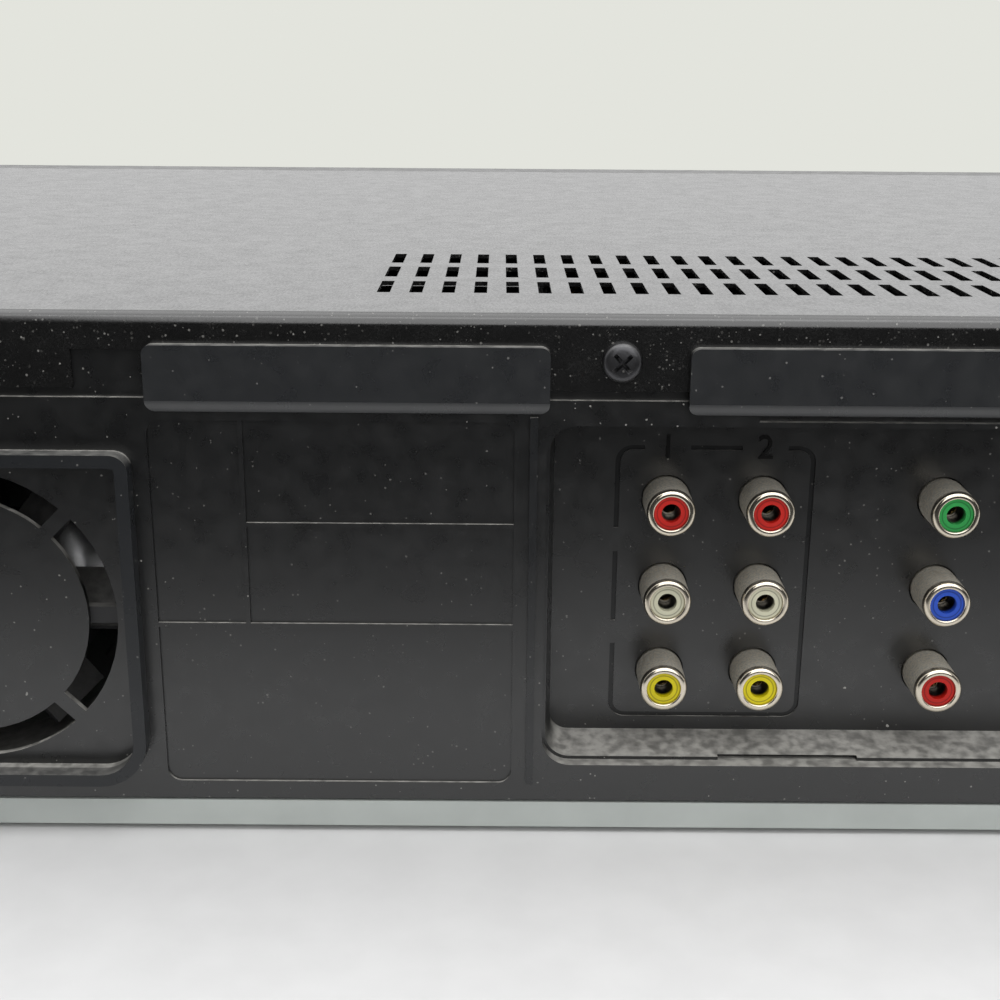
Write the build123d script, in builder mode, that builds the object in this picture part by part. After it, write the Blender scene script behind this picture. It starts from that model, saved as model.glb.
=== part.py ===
from build123d import *
import os
from math import acos, cos, pi, radians, sin, tan

os.makedirs("parts", exist_ok=True)

# ---------------------------------------------------------------- case
# millimetres, +Z up, the fascia looks along -Y and the socket side along +Y
HALF_W = 217.5             # half the width of the case
TOP = 94.0                 # top of the sheet cover
PAN_Z = 1.2                # underside of the base pan, on the feet
REAR = 148.5               # outer face of the rear panel and of the cover's flange
FACE = -151.0              # front face of the fascia
SEAM = -133.0              # where the cover and the pan meet the fascia
PROUD = 1.0                # how far the keys stand out of the fascia

# sheet cover: one bent sheet with a turned-down rear flange
COVER_T = 0.8
COVER_R = 2.0
COVER_BOTTOM = 6.4
FLANGE_LOW = 81.4
NOTCH_LOW, NOTCH_HIGH = 81.4, 87.8
NOTCH_X0, NOTCH_X1 = 78.6, 90.0
SLOT_W, SLOT_L = 2.3, 13.0
SLOT_PITCH, SLOT_ROW_PITCH = 5.69, 18.4
SLOT_COLUMNS, SLOT_ROWS = 28, 3
SLOT_FIRST_X = 40.5
SLOT_MID_Y = REAR - 46.5
SCREW_Z = 86.4
REAR_SCREWS_X = (27.5 - HALF_W, 0.0, HALF_W - 27.5)
SIDE_SCREWS_Y = (-90.0, 110.0)
SIDE_SCREW_Z = 14.0
SCREW_R, SCREW_HEAD_R, SCREW_HEAD_H = 1.4, 3.35, 1.9
SCREW_HOLE_R = 1.7

# base pan
PAN_T = 1.0
PAN_EDGE_T = 1.5
PAN_EDGE_TOP = 6.1
PAN_FLANGE_T = 1.0
PAN_FLANGE_TOP = 20.0
BOARD_Z, BOARD_T = 8.0, 1.6
FOOT_R = 11.0
FOOT_X = HALF_W - 32.5
FEET = ((-FOOT_X, -118), (FOOT_X, -118), (-FOOT_X, 122), (FOOT_X, 122))

# rear panel
PANEL_T = 2.2
PANEL_HALF = HALF_W - 1.2
PANEL_LOW, PANEL_HIGH = 6.6, 79.8
LEDGE_T, LEDGE_GAP, LEDGE_TOP = 1.8, 0.2, 91.0
TAB_PROUD = 1.8
TAB_LOW, TAB_HIGH = 77.7, 88.9
TAB_R = 1.6
TAB_BEVEL_H, TAB_BEVEL_IN = 2.0, 1.0     # bevel along the lower edge of a tongue
TABS = ((-78.0, -11.7), (11.1, 77.4), (108.0, 172.0), (-172.0, -108.0))   # seen from behind
LABEL_L, LABEL_R_EDGE = -78.4, -17.4
LABEL_LOW, LABEL_HIGH = 9.9, 76.0
LABEL_DEEP, LABEL_CORNER = 0.5, 2.5
DIVIDER_W = 0.8
DIVIDER_X, DIVIDER_Z1, DIVIDER_Z2 = -62.9, 57.9, 39.7
RIB_X, RIB_W, RIB_LOW, RIB_HIGH = -14.2, 1.3, 9.9, 77.0

# socket recess in the rear panel, seen from behind
RECESS_L, RECESS_R = -12.0, 120.0
RECESS_LOW, RECESS_HIGH = 13.5, 75.5
RECESS_CORNER = 5.0
LIP_DEEP, LIP_STEP = 2.4, 0.6
RECESS_DEEP = 11.4
RECESS_DRAFT = 7.0
RECESS_WALL = 1.8
BRACKET_L, BRACKET_R, BRACKET_LOW, BRACKET_HIGH = 0.8, 34.9, 18.2, 68.9
BRACKET_W, BRACKET_DEEP, BRACKET_CORNER = 0.85, 0.3, 3.0
DRAIN_L, DRAIN_R, DRAIN_H = 19.6, 44.6, 0.9

# fan surround, seen from behind
BOSS_L, BOSS_R, BOSS_LOW, BOSS_HIGH = -143.1, -81.1, 10.4, 70.8
BOSS_PROUD, BOSS_RIM, BOSS_FLOOR = 3.5, 2.2, 1.2
BOSS_LOW_R, BOSS_HIGH_R = 8.5, 3.0
FAN_X, FAN_Z = 112.1, 40.6
FAN_SIZE, FAN_T, FAN_BORE = 60.0, 15.0, 28.0
GRILLE_RINGS = ((9.0, 13.0), (15.0, 19.5), (21.5, 26.5))
SPOKE_W = 2.6

# phono sockets
RCA_R, RCA_WALL, RCA_TIP = 4.15, 0.65, 2.4
RCA_NECK_R = 3.9                           # behind the panel
RCA_LIP_R, RCA_LIP_T = 2.95, 1.2           # mouth of the rolled rim
RCA_HOLE_CLEAR = 0.25
RCA_ROWS = (59.6, 43.35, 27.1)
LINE_IN_X, LINE_OUT_X, COMPONENT_X = 9.45, 26.45, 58.0
INSERT_BACK, INSERT_BORE, INSERT_SET = 3.0, 1.65, 0.5
INSERT_NOSE_R = 2.9
SVIDEO_X, SVIDEO_Z, SVIDEO_R = 76.0, 57.0, 6.2
AERIAL_X, AERIAL_ROWS, AERIAL_R = 100.0, (57.0, 31.0), 4.75
AERIAL_NECK_R = 4.4
NECK_OUT = 0.3                             # how far a neck stands out of the recess floor
GLAND_X, GLAND_Z, GLAND_R, GLAND_BORE = HALF_W - 27.5, 20.0, 6.0, 3.5

FLOOR_Y = REAR - RECESS_DEEP               # front of the socket recess floor
BACK_Y = FLOOR_Y - RECESS_WALL             # back of that floor
TIP_Y = REAR - RCA_TIP                     # rim of the phono sleeves

# fascia
FASCIA_T = 2.5
FASCIA_SIDE = 2.2
FASCIA_R = 4.0
TRAY_MID = -124.0
DOOR_W, DOOR_LOW, DOOR_HIGH = 144.0, 60.0, 80.0
DOOR_GAP = 0.6
DOOR_T = 4.0
BAY_MID = 104.0
BAY_W, BAY_LOW, BAY_HIGH = 196.0, 52.0, 84.0
FLAP_T = 2.0
FLAP_PIN_Y, FLAP_PIN_Z, FLAP_PIN_R = -148.3, 81.6, 1.2
WINDOW_L, WINDOW_R, WINDOW_LOW, WINDOW_HIGH = -130.0, 10.0, 20.0, 46.0
WINDOW_T, WINDOW_LIP = 1.8, 2.0
FRONT_RCA_X, FRONT_RCA_Z = (HALF_W - 45.5, HALF_W - 31.5, HALF_W - 17.5), 30.0
KEY_GAP = 0.4
KEY_TRAVEL = 0.8
STEM_END = -145.0
TACT_TOP = STEM_END + KEY_TRAVEL + 0.3
SWITCH_BOARD_Y = -141.5
BOARD_BOSSES = [(-180, 14), (-60, 14), (45, 14), (140, 14), (-24, 57)]
KEYS = {
    "power_button": (21.5 - HALF_W, 33.0, 13.0, 13.0),
    "dvd_play_button": (59.5 - HALF_W, 33.0, 22.0, 9.0),
    "tray_open_button": (-36.0, 70.0, 20.0, 8.0),
    "cassette_eject_button": (-12.0, 70.0, 20.0, 8.0),
    "rewind_button": (32.0, 33.0, 20.0, 9.0),
    "vcr_play_button": (57.0, 33.0, 20.0, 9.0),
    "forward_button": (82.0, 33.0, 20.0, 9.0),
    "stop_button": (107.0, 33.0, 20.0, 9.0),
    "record_button": (132.0, 33.0, 20.0, 9.0),
}
ROCKER_X, ROCKER_Z, ROCKER_W, ROCKER_H = HALF_W - 64.5, 33.0, 10.0, 26.0
ROCKER_PIN_Y, ROCKER_PIN_R = -146.0, 1.0

# disc loader
LOADER_L, LOADER_R = -198.0, -50.0
LOADER_Y0, LOADER_Y1 = -131.0, 60.0
LOADER_LOW, LOADER_TOP, LOADER_T = 40.0, 84.0, 2.0
TRAY_W, TRAY_LIP = 134.0, 2.5
TRAY_LOW, TRAY_HIGH, TRAY_END = 64.0, 72.0, 8.0
LIP_LOW, LIP_HIGH = 66.0, 68.0
DISC_X, DISC_Y = TRAY_MID, -82.0
WELL_R, WELL_Z = 61.5, 67.0
SMALL_WELL_R, SMALL_WELL_Z = 41.5, 66.0
SPINDLE_SLOT = 20.0
MODULE, PINION_TEETH = 1.0, 18
PINION_Y = -118.0
RACK_X = -184.0            # pitch line of the tray's rack
RACK_TEETH = 43
BACKLASH = 0.16
TRAVERSE_LOW, TRAVERSE_T = 48.0, 2.0
TRAVERSE_L, TRAVERSE_R, TRAVERSE_Y0, TRAVERSE_Y1 = -162.0, -86.0, -112.0, 24.0
TILT_Y, TILT_Z, TILT_R = 30.0, 49.0, 2.0
ROD_R, ROD_Z, ROD_Y0, ROD_Y1 = 1.5, 57.0, -64.0, 14.0
RODS_X = (-141.0, -107.0)
SCREW_SHAFT_X, SCREW_SHAFT_R = -97.0, 1.5
SLED_L, SLED_R, SLED_Y0, SLED_Y1 = -146.0, -93.0, -60.0, -30.0
SLED_TRAVEL = 36.0
RUN = 0.05                 # radial clearance of a running fit
BRIDGE_Y0, BRIDGE_Y1 = -94.0, -70.0

# tape deck
DECK_Z, DECK_T = 24.0, 1.5
DECK_Y0, DECK_Y1 = -112.0, 108.0
GUIDE_IN, GUIDE_T, GUIDE_TOP = 97.55, 1.2, 86.0
SLIDER_IN, SLIDER_T = 96.15, 1.0
CARRIER_IN, CARRIER_T = 94.75, 1.0
CARRIER_LOW, CARRIER_TOP = 54.0, 83.0
CARRIER_Y0, CARRIER_Y1 = -112.0, -12.0
DRUM_X, DRUM_Y, DRUM_R, DRUM_TILT = 100.0, 76.0, 31.0, 5.0
REELS_X, REEL_Y = (58.0, 150.0), -8.0
CAPSTAN_X, CAPSTAN_Y, CAPSTAN_R = 152.0, 60.0, 1.6
ROLLER_X, ROLLER_R = 161.6, 7.5


def front(y):
    """Sketch plane across the case at y, drawn as seen from the front."""
    return Plane.XZ.offset(-y)


def rear(y):
    """Sketch plane across the case at y, drawn as seen from behind."""
    return Plane(origin=(0, y, 0), x_dir=(-1, 0, 0), z_dir=(0, 1, 0))


def level(z):
    """Sketch plane at height z, drawn as seen from above."""
    return Plane.XY.offset(z)


def block(plane, x0, x1, y0, y1, depth, mode=Mode.ADD):
    """Straight block between two corners of the plane."""
    with BuildSketch(plane) as outline:
        with Locations(((x0 + x1) / 2, (y0 + y1) / 2)):
            Rectangle(x1 - x0, y1 - y0)
    extrude(outline.sketch, amount=depth, mode=mode)


def soft_block(plane, x0, x1, y0, y1, radius, depth, mode=Mode.ADD, taper=0.0):
    """Block with rounded corners, optionally drafted."""
    with BuildSketch(plane) as outline:
        with Locations(((x0 + x1) / 2, (y0 + y1) / 2)):
            RectangleRounded(x1 - x0, y1 - y0, radius)
    extrude(outline.sketch, amount=depth, taper=taper, mode=mode)


def bar(plane, points, radius, depth, mode=Mode.ADD):
    """Round bars of one radius at the points of the plane."""
    with BuildSketch(plane) as outline:
        with Locations(*points):
            Circle(radius)
    extrude(outline.sketch, amount=depth, mode=mode)


def tube(plane, points, outer, inner, depth, mode=Mode.ADD):
    """Round tubes at the points of the plane."""
    with BuildSketch(plane) as outline:
        with Locations(*points):
            Circle(outer)
            Circle(inner, mode=Mode.SUBTRACT)
    extrude(outline.sketch, amount=depth, mode=mode)


def save(piece, name):
    """Label a finished piece and write it out."""
    piece.part.label = name
    export_step(piece.part, f"parts/{name}.step")


# ---------------------------------------------------------------- sheet cover
cover_length = REAR - SEAM
inner_half = HALF_W - COVER_T
slot_mid_x = SLOT_FIRST_X - SLOT_PITCH * (SLOT_COLUMNS - 1) / 2

with BuildPart() as top_cover:
    block(front(SEAM), -HALF_W, HALF_W, COVER_BOTTOM, TOP, -cover_length)
    bends = top_cover.edges().filter_by(Axis.Y).group_by(Axis.Z)[-1]
    fillet(bends + top_cover.edges().filter_by(Axis.X).group_by(Axis.Z)[-1].sort_by(Axis.Y)[-1:], COVER_R)
    with BuildSketch(front(SEAM)) as hollow:
        with Locations((0, (COVER_BOTTOM - COVER_R + TOP - COVER_T) / 2)):
            RectangleRounded(2 * inner_half, TOP - COVER_T - COVER_BOTTOM + COVER_R, COVER_R - COVER_T)
        with Locations((0, COVER_BOTTOM)):
            Rectangle(2 * inner_half, 2 * COVER_R)
    extrude(hollow.sketch, amount=-(cover_length - COVER_T), mode=Mode.SUBTRACT)
    block(rear(REAR), -inner_half, inner_half, COVER_BOTTOM - 1, FLANGE_LOW, -COVER_T, Mode.SUBTRACT)
    block(rear(REAR), -NOTCH_X1, -NOTCH_X0, NOTCH_LOW - 1, NOTCH_HIGH, -COVER_T, Mode.SUBTRACT)
    with BuildSketch(level(TOP)) as vents:
        with Locations((slot_mid_x, SLOT_MID_Y)):
            with GridLocations(SLOT_PITCH, SLOT_ROW_PITCH, SLOT_COLUMNS, SLOT_ROWS):
                Rectangle(SLOT_W, SLOT_L)
    extrude(vents.sketch, amount=-COVER_T - 0.2, mode=Mode.SUBTRACT)
    bar(rear(REAR), [(-x, SCREW_Z) for x in REAR_SCREWS_X], SCREW_HOLE_R, -COVER_T, Mode.SUBTRACT)
    bar(Plane.YZ.offset(HALF_W), [(y, SIDE_SCREW_Z) for y in SIDE_SCREWS_Y], SCREW_HOLE_R, -2 * HALF_W,
        Mode.SUBTRACT)
save(top_cover, "top_cover")

# ---------------------------------------------------------------- base pan and feet
board_posts = [(-200, -40), (-200, 110), (-60, 126), (-52, -60), (-38, -90), (-4, -90), (-38, 88), (-4, 88)]
loader_posts = [(-192, -110), (-56, -110), (-192, 46), (-56, 46)]
deck_posts = [(16, -100), (192, -100), (16, 96), (192, 96)]

with BuildPart() as base_pan:
    block(level(PAN_Z), -HALF_W, HALF_W, SEAM + 0.4, REAR, PAN_T)
    block(level(PAN_Z), -HALF_W, HALF_W, REAR - PAN_EDGE_T, REAR, PAN_EDGE_TOP - PAN_Z)
    for side in (-1, 1):
        edges_x = sorted((side * HALF_W, side * (HALF_W - PAN_EDGE_T)))
        flange_x = sorted((side * (HALF_W - 1.1), side * (HALF_W - 1.1 - PAN_FLANGE_T)))
        block(level(PAN_Z), edges_x[0], edges_x[1], SEAM + 0.4, REAR, PAN_EDGE_TOP - PAN_Z)
        block(level(PAN_Z), flange_x[0], flange_x[1], SEAM + 2, REAR - 8, PAN_FLANGE_TOP - PAN_Z)
    bar(level(PAN_Z), board_posts, 3.0, BOARD_Z - PAN_Z)
    bar(level(PAN_Z), loader_posts, 4.0, LOADER_LOW - PAN_Z)
    bar(level(PAN_Z), deck_posts, 4.0, DECK_Z - PAN_Z)
    with BuildSketch(level(PAN_Z)) as pan_vents:
        with Locations((-125, 0)):
            with GridLocations(8.0, 34.0, 10, 2):
                SlotOverall(26.0, 3.0, rotation=90)
        with Locations((104, 62)):
            with GridLocations(8.0, 34.0, 10, 1):
                SlotOverall(26.0, 3.0, rotation=90)
    extrude(pan_vents.sketch, amount=PAN_T, mode=Mode.SUBTRACT)
    bar(Plane.YZ.offset(HALF_W - 0.5), [(y, SIDE_SCREW_Z) for y in SIDE_SCREWS_Y], SCREW_R,
        -2 * HALF_W + 1, Mode.SUBTRACT)
save(base_pan, "base_pan")

with BuildPart() as feet:
    bar(level(0), FEET, FOOT_R, PAN_Z)
save(feet, "feet")

# ---------------------------------------------------------------- cover screws
with BuildPart() as cover_screws:
    for x in REAR_SCREWS_X:
        bar(rear(REAR), [(-x, SCREW_Z)], SCREW_HEAD_R, SCREW_HEAD_H)
        bar(rear(REAR), [(-x, SCREW_Z)], SCREW_R, -7.0)
    for side in (-1, 1):
        plane = Plane(origin=(side * HALF_W, 0, 0), x_dir=(0, 1, 0), z_dir=(side, 0, 0))
        for y in SIDE_SCREWS_Y:
            bar(plane, [(y, side * SIDE_SCREW_Z)], SCREW_HEAD_R, SCREW_HEAD_H - 0.4)
            bar(plane, [(y, side * SIDE_SCREW_Z)], SCREW_R, -6.0)
    crowns = cover_screws.edges().filter_by(GeomType.CIRCLE).filter_by(lambda e: e.radius > SCREW_R + 1)
    outer_crowns = [e for e in crowns if abs(e.center().Y) > REAR + 1 or abs(e.center().X) > HALF_W + 1]
    fillet(outer_crowns, 1.0)
save(cover_screws, "cover_screws")

# ---------------------------------------------------------------- rear panel
with BuildPart() as rear_panel:
    block(rear(REAR), -PANEL_HALF, PANEL_HALF, PANEL_LOW, PANEL_HIGH, -PANEL_T)
    block(rear(REAR - COVER_T - LEDGE_GAP), -PANEL_HALF, PANEL_HALF, PANEL_HIGH - 3, LEDGE_TOP, -LEDGE_T)
    bar(rear(REAR), [(-x, SCREW_Z) for x in REAR_SCREWS_X], SCREW_R, -8.0, Mode.SUBTRACT)
    # tongues that lie over the cover's flange
    for left, right in TABS:
        with BuildSketch(rear(REAR)) as tab:
            with Locations(((left + right) / 2, (TAB_LOW + TAB_HIGH) / 2)):
                RectangleRounded(right - left, TAB_HIGH - TAB_LOW, TAB_R)
        extrude(tab.sketch, amount=TAB_PROUD)
    tab_side = Plane(origin=(-PANEL_HALF, REAR + TAB_PROUD, TAB_LOW), x_dir=(0, 1, 0), z_dir=(1, 0, 0))
    with BuildSketch(tab_side) as bevel:
        with BuildLine():
            Polyline((0, TAB_BEVEL_H), (1, TAB_BEVEL_H), (1, -1), (-TAB_BEVEL_IN, -1), (-TAB_BEVEL_IN, 0),
                     close=True)
        make_face()
    extrude(bevel.sketch, amount=2 * PANEL_HALF, mode=Mode.SUBTRACT)
    # shallow field for printed notices, with its two dividing ribs left standing
    with BuildSketch(rear(REAR)) as label:
        with Locations(((LABEL_L + LABEL_R_EDGE) / 2, (LABEL_LOW + LABEL_HIGH) / 2)):
            RectangleRounded(LABEL_R_EDGE - LABEL_L, LABEL_HIGH - LABEL_LOW, LABEL_CORNER)
        with Locations((DIVIDER_X, (DIVIDER_Z2 + LABEL_HIGH) / 2)):
            Rectangle(DIVIDER_W, LABEL_HIGH - DIVIDER_Z2, mode=Mode.SUBTRACT)
        with Locations(((DIVIDER_X + LABEL_R_EDGE) / 2, DIVIDER_Z1)):
            Rectangle(LABEL_R_EDGE - DIVIDER_X, DIVIDER_W, mode=Mode.SUBTRACT)
        with Locations(((LABEL_L + LABEL_R_EDGE) / 2, DIVIDER_Z2)):
            Rectangle(LABEL_R_EDGE - LABEL_L, DIVIDER_W, mode=Mode.SUBTRACT)
    extrude(label.sketch, amount=-LABEL_DEEP, mode=Mode.SUBTRACT)
    block(rear(REAR), RIB_X - RIB_W / 2, RIB_X + RIB_W / 2, RIB_LOW, RIB_HIGH, 0.6)
    # drafted socket recess: lip, step and floor
    soft_block(rear(REAR), RECESS_L - RECESS_WALL, RECESS_R + RECESS_WALL, RECESS_LOW - RECESS_WALL,
               RECESS_HIGH + RECESS_WALL, RECESS_CORNER + RECESS_WALL, -(RECESS_DEEP + RECESS_WALL),
               taper=RECESS_DRAFT)
    soft_block(rear(REAR), RECESS_L, RECESS_R, RECESS_LOW, RECESS_HIGH, RECESS_CORNER, -LIP_DEEP,
               Mode.SUBTRACT)
    soft_block(rear(REAR - LIP_DEEP), RECESS_L + LIP_STEP, RECESS_R - LIP_STEP, RECESS_LOW + LIP_STEP,
               RECESS_HIGH - LIP_STEP, RECESS_CORNER - LIP_STEP, -(RECESS_DEEP - LIP_DEEP),
               Mode.SUBTRACT, RECESS_DRAFT)
    # engraved bracket round the line sockets
    with BuildSketch(rear(FLOOR_Y)) as bracket:
        with Locations(((BRACKET_L + BRACKET_R) / 2, (BRACKET_LOW + BRACKET_HIGH) / 2)):
            RectangleRounded(BRACKET_R - BRACKET_L + BRACKET_W, BRACKET_HIGH - BRACKET_LOW + BRACKET_W,
                             BRACKET_CORNER)
            RectangleRounded(BRACKET_R - BRACKET_L - BRACKET_W, BRACKET_HIGH - BRACKET_LOW - BRACKET_W,
                             BRACKET_CORNER - BRACKET_W, mode=Mode.SUBTRACT)
        with Locations((LINE_IN_X, BRACKET_HIGH), (LINE_OUT_X, BRACKET_HIGH)):
            Rectangle(8.0, 2.0, mode=Mode.SUBTRACT)
        with Locations((BRACKET_L, 52.0), (BRACKET_L, 34.4)):
            Rectangle(2.0, 4.4, mode=Mode.SUBTRACT)
    extrude(bracket.sketch, amount=-BRACKET_DEEP, mode=Mode.SUBTRACT)
    line_points = [(x, z) for x in (LINE_IN_X, LINE_OUT_X, COMPONENT_X) for z in RCA_ROWS]
    bar(rear(FLOOR_Y), line_points, RCA_R + RCA_HOLE_CLEAR, -RECESS_WALL, Mode.SUBTRACT)
    bar(rear(FLOOR_Y), [(SVIDEO_X, SVIDEO_Z)], SVIDEO_R + RCA_HOLE_CLEAR, -RECESS_WALL, Mode.SUBTRACT)
    bar(rear(FLOOR_Y), [(AERIAL_X, z) for z in AERIAL_ROWS], AERIAL_R + RCA_HOLE_CLEAR, -RECESS_WALL,
        Mode.SUBTRACT)
    # air slits: above the recess, and in its lower wall
    block(rear(REAR), 23.0, 66.0, TAB_LOW - 1.3, TAB_LOW - 0.4, -1.2, Mode.SUBTRACT)
    block(rear(REAR - LIP_DEEP), DRAIN_L, DRAIN_R, RECESS_LOW - 0.2, RECESS_LOW - 0.2 + DRAIN_H, -2.0,
          Mode.SUBTRACT)
    # raised surround of the cooling fan with its pocket and finger guard
    with BuildSketch(rear(REAR)) as boss:
        with BuildLine():
            Polyline((BOSS_L, BOSS_LOW), (BOSS_R, BOSS_LOW), (BOSS_R, BOSS_HIGH), (BOSS_L, BOSS_HIGH),
                     close=True)
        make_face()
        fillet(boss.vertices().group_by(Axis.Y)[0], BOSS_LOW_R)
        fillet(boss.vertices().group_by(Axis.Y)[-1], BOSS_HIGH_R)
    extrude(boss.sketch, amount=BOSS_PROUD)
    pocket = offset(boss.sketch.moved(Location((0, BOSS_PROUD, 0))), amount=-BOSS_RIM, mode=Mode.PRIVATE)
    extrude(pocket, amount=-(BOSS_PROUD + PANEL_T - BOSS_FLOOR), dir=(0, 1, 0), mode=Mode.SUBTRACT)
    with BuildSketch(rear(REAR - 0.8)) as guard:
        with Locations((-FAN_X, FAN_Z)):
            for inner, outer in GRILLE_RINGS:
                Circle(outer)
                Circle(inner, mode=Mode.SUBTRACT)
            Rectangle(2 * FAN_SIZE, SPOKE_W, rotation=45, mode=Mode.SUBTRACT)
            Rectangle(2 * FAN_SIZE, SPOKE_W, rotation=-45, mode=Mode.SUBTRACT)
    extrude(guard.sketch, amount=-3.0, mode=Mode.SUBTRACT)
    bar(rear(REAR), [(-GLAND_X, GLAND_Z)], GLAND_R + 0.2, -PANEL_T, Mode.SUBTRACT)
save(rear_panel, "rear_panel")

# ---------------------------------------------------------------- rear sockets
rear_shell_points = [(x, z) for x in (LINE_IN_X, LINE_OUT_X, COMPONENT_X) for z in RCA_ROWS]
front_shell_points = [(x, FRONT_RCA_Z) for x in FRONT_RCA_X]
SHELL_LENGTH = TIP_Y - BACK_Y + INSERT_BACK
FRONT_TIP_Y = FACE + 0.5
insert_radius = RCA_R - RCA_WALL
NECK_LENGTH = FLOOR_Y + NECK_OUT - BACK_Y + INSERT_BACK
RIM_ROUND, LIP_ROUND = 0.75, 0.3
NOSE_LENGTH = RCA_LIP_T + 0.05 - INSERT_SET

with BuildPart() as phono_sleeves:
    tube(rear(BACK_Y - INSERT_BACK), rear_shell_points, RCA_NECK_R, insert_radius, NECK_LENGTH)
    tube(rear(FLOOR_Y + NECK_OUT), rear_shell_points, RCA_R, insert_radius, TIP_Y - FLOOR_Y - NECK_OUT)
    tube(rear(TIP_Y - RCA_LIP_T), rear_shell_points, RCA_R, RCA_LIP_R, RCA_LIP_T)
    tube(front(FRONT_TIP_Y + SHELL_LENGTH), front_shell_points, RCA_R, insert_radius, SHELL_LENGTH)
    tube(front(FRONT_TIP_Y + RCA_LIP_T), front_shell_points, RCA_R, RCA_LIP_R, RCA_LIP_T)
    # the mouth is rolled: rounded outside and in
    mouths = phono_sleeves.edges().filter_by(GeomType.CIRCLE).filter_by(
        lambda e: e.center().Y > TIP_Y - 0.01 or e.center().Y < FRONT_TIP_Y + 0.01)
    fillet(mouths.filter_by(lambda e: e.radius > RCA_R - 0.01), RIM_ROUND)
    fillet(phono_sleeves.edges().filter_by(GeomType.CIRCLE).filter_by(
        lambda e: abs(e.radius - RCA_LIP_R) < 0.01
        and (e.center().Y > TIP_Y - 0.01 or e.center().Y < FRONT_TIP_Y + 0.01)), LIP_ROUND)
save(phono_sleeves, "phono_sleeves")

rear_columns = (LINE_IN_X, LINE_OUT_X)
INSERTS = {
    "red_inserts": ([(x, RCA_ROWS[0]) for x in rear_columns] + [(COMPONENT_X, RCA_ROWS[2])],
                    [(FRONT_RCA_X[2], FRONT_RCA_Z)]),
    "white_inserts": ([(x, RCA_ROWS[1]) for x in rear_columns], [(FRONT_RCA_X[1], FRONT_RCA_Z)]),
    "yellow_inserts": ([(x, RCA_ROWS[2]) for x in rear_columns], [(FRONT_RCA_X[0], FRONT_RCA_Z)]),
    "green_insert": ([(COMPONENT_X, RCA_ROWS[0])], []),
    "blue_insert": ([(COMPONENT_X, RCA_ROWS[1])], []),
}
for insert_name, (behind, ahead) in INSERTS.items():
    with BuildPart() as insert:
        barrel_length = SHELL_LENGTH - RCA_LIP_T - 0.05
        tube(rear(BACK_Y - INSERT_BACK), behind, insert_radius, INSERT_BORE, barrel_length)
        tube(rear(TIP_Y - INSERT_SET - NOSE_LENGTH), behind, INSERT_NOSE_R, INSERT_BORE, NOSE_LENGTH)
        if ahead:
            tube(front(FRONT_TIP_Y + SHELL_LENGTH), ahead, insert_radius, INSERT_BORE, barrel_length)
            tube(front(FRONT_TIP_Y + INSERT_SET + NOSE_LENGTH), ahead, INSERT_NOSE_R, INSERT_BORE,
                 NOSE_LENGTH)
    save(insert, insert_name)

JACK_BLOCKS = ((BRACKET_L - 0.3, BRACKET_R + 0.5), (COMPONENT_X - 8.0, COMPONENT_X + 7.5))
JACK_DEEP = 14.0
with BuildPart() as jack_bodies:
    for left, right in JACK_BLOCKS:
        block(rear(BACK_Y), left, right, BOARD_Z + BOARD_T, 69.0, -JACK_DEEP)
    bar(rear(BACK_Y), rear_shell_points, RCA_NECK_R, -INSERT_BACK, Mode.SUBTRACT)
    front_back = FRONT_TIP_Y + SHELL_LENGTH
    block(front(FACE + FASCIA_T), 164.0, 207.0, FRONT_RCA_Z - 7.0, FRONT_RCA_Z + 7.0,
          -(front_back + 4.0 - FACE - FASCIA_T))
    bar(front(front_back), front_shell_points, RCA_R, 20.0, Mode.SUBTRACT)
save(jack_bodies, "jack_bodies")

with BuildPart() as s_video_socket:
    block(rear(BACK_Y), SVIDEO_X - 7.0, SVIDEO_X + 7.0, BOARD_Z + BOARD_T, SVIDEO_Z + 8.0, -JACK_DEEP)
    bar(rear(BACK_Y), [(SVIDEO_X, SVIDEO_Z)], SVIDEO_R, RECESS_WALL + 1.4)
    tube(rear(FLOOR_Y + 1.4), [(SVIDEO_X, SVIDEO_Z)], SVIDEO_R - 0.9, SVIDEO_R - 1.7, -4.0, Mode.SUBTRACT)
    with BuildSketch(rear(FLOOR_Y + 1.4)) as contacts:
        with Locations((SVIDEO_X, SVIDEO_Z)):
            with PolarLocations(2.9, 4, start_angle=30, angular_range=240):
                Circle(0.6)
            with Locations((0, -3.2)):
                Rectangle(2.2, 1.0)
    extrude(contacts.sketch, amount=-4.0, mode=Mode.SUBTRACT)
save(s_video_socket, "s_video_socket")

TUNER_FRONT = 96.0
AERIAL_BACK = 2.0
aerial_points = [(AERIAL_X, z) for z in AERIAL_ROWS]
with BuildPart() as tuner_can:
    block(rear(BACK_Y), AERIAL_X - 11.0, AERIAL_X + 11.0, BOARD_Z + BOARD_T, 70.0, -(BACK_Y - TUNER_FRONT))
    bar(rear(BACK_Y), aerial_points, AERIAL_NECK_R, -AERIAL_BACK, Mode.SUBTRACT)
save(tuner_can, "tuner_can")

with BuildPart() as aerial_terminals:
    bar(rear(BACK_Y - AERIAL_BACK), aerial_points, AERIAL_NECK_R, AERIAL_BACK + RECESS_WALL + NECK_OUT)
    bar(rear(FLOOR_Y + NECK_OUT), aerial_points, AERIAL_R, TIP_Y - FLOOR_Y - NECK_OUT)
    bar(rear(TIP_Y), aerial_points, 0.8, -8.0, Mode.SUBTRACT)
save(aerial_terminals, "aerial_terminals")

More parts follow.
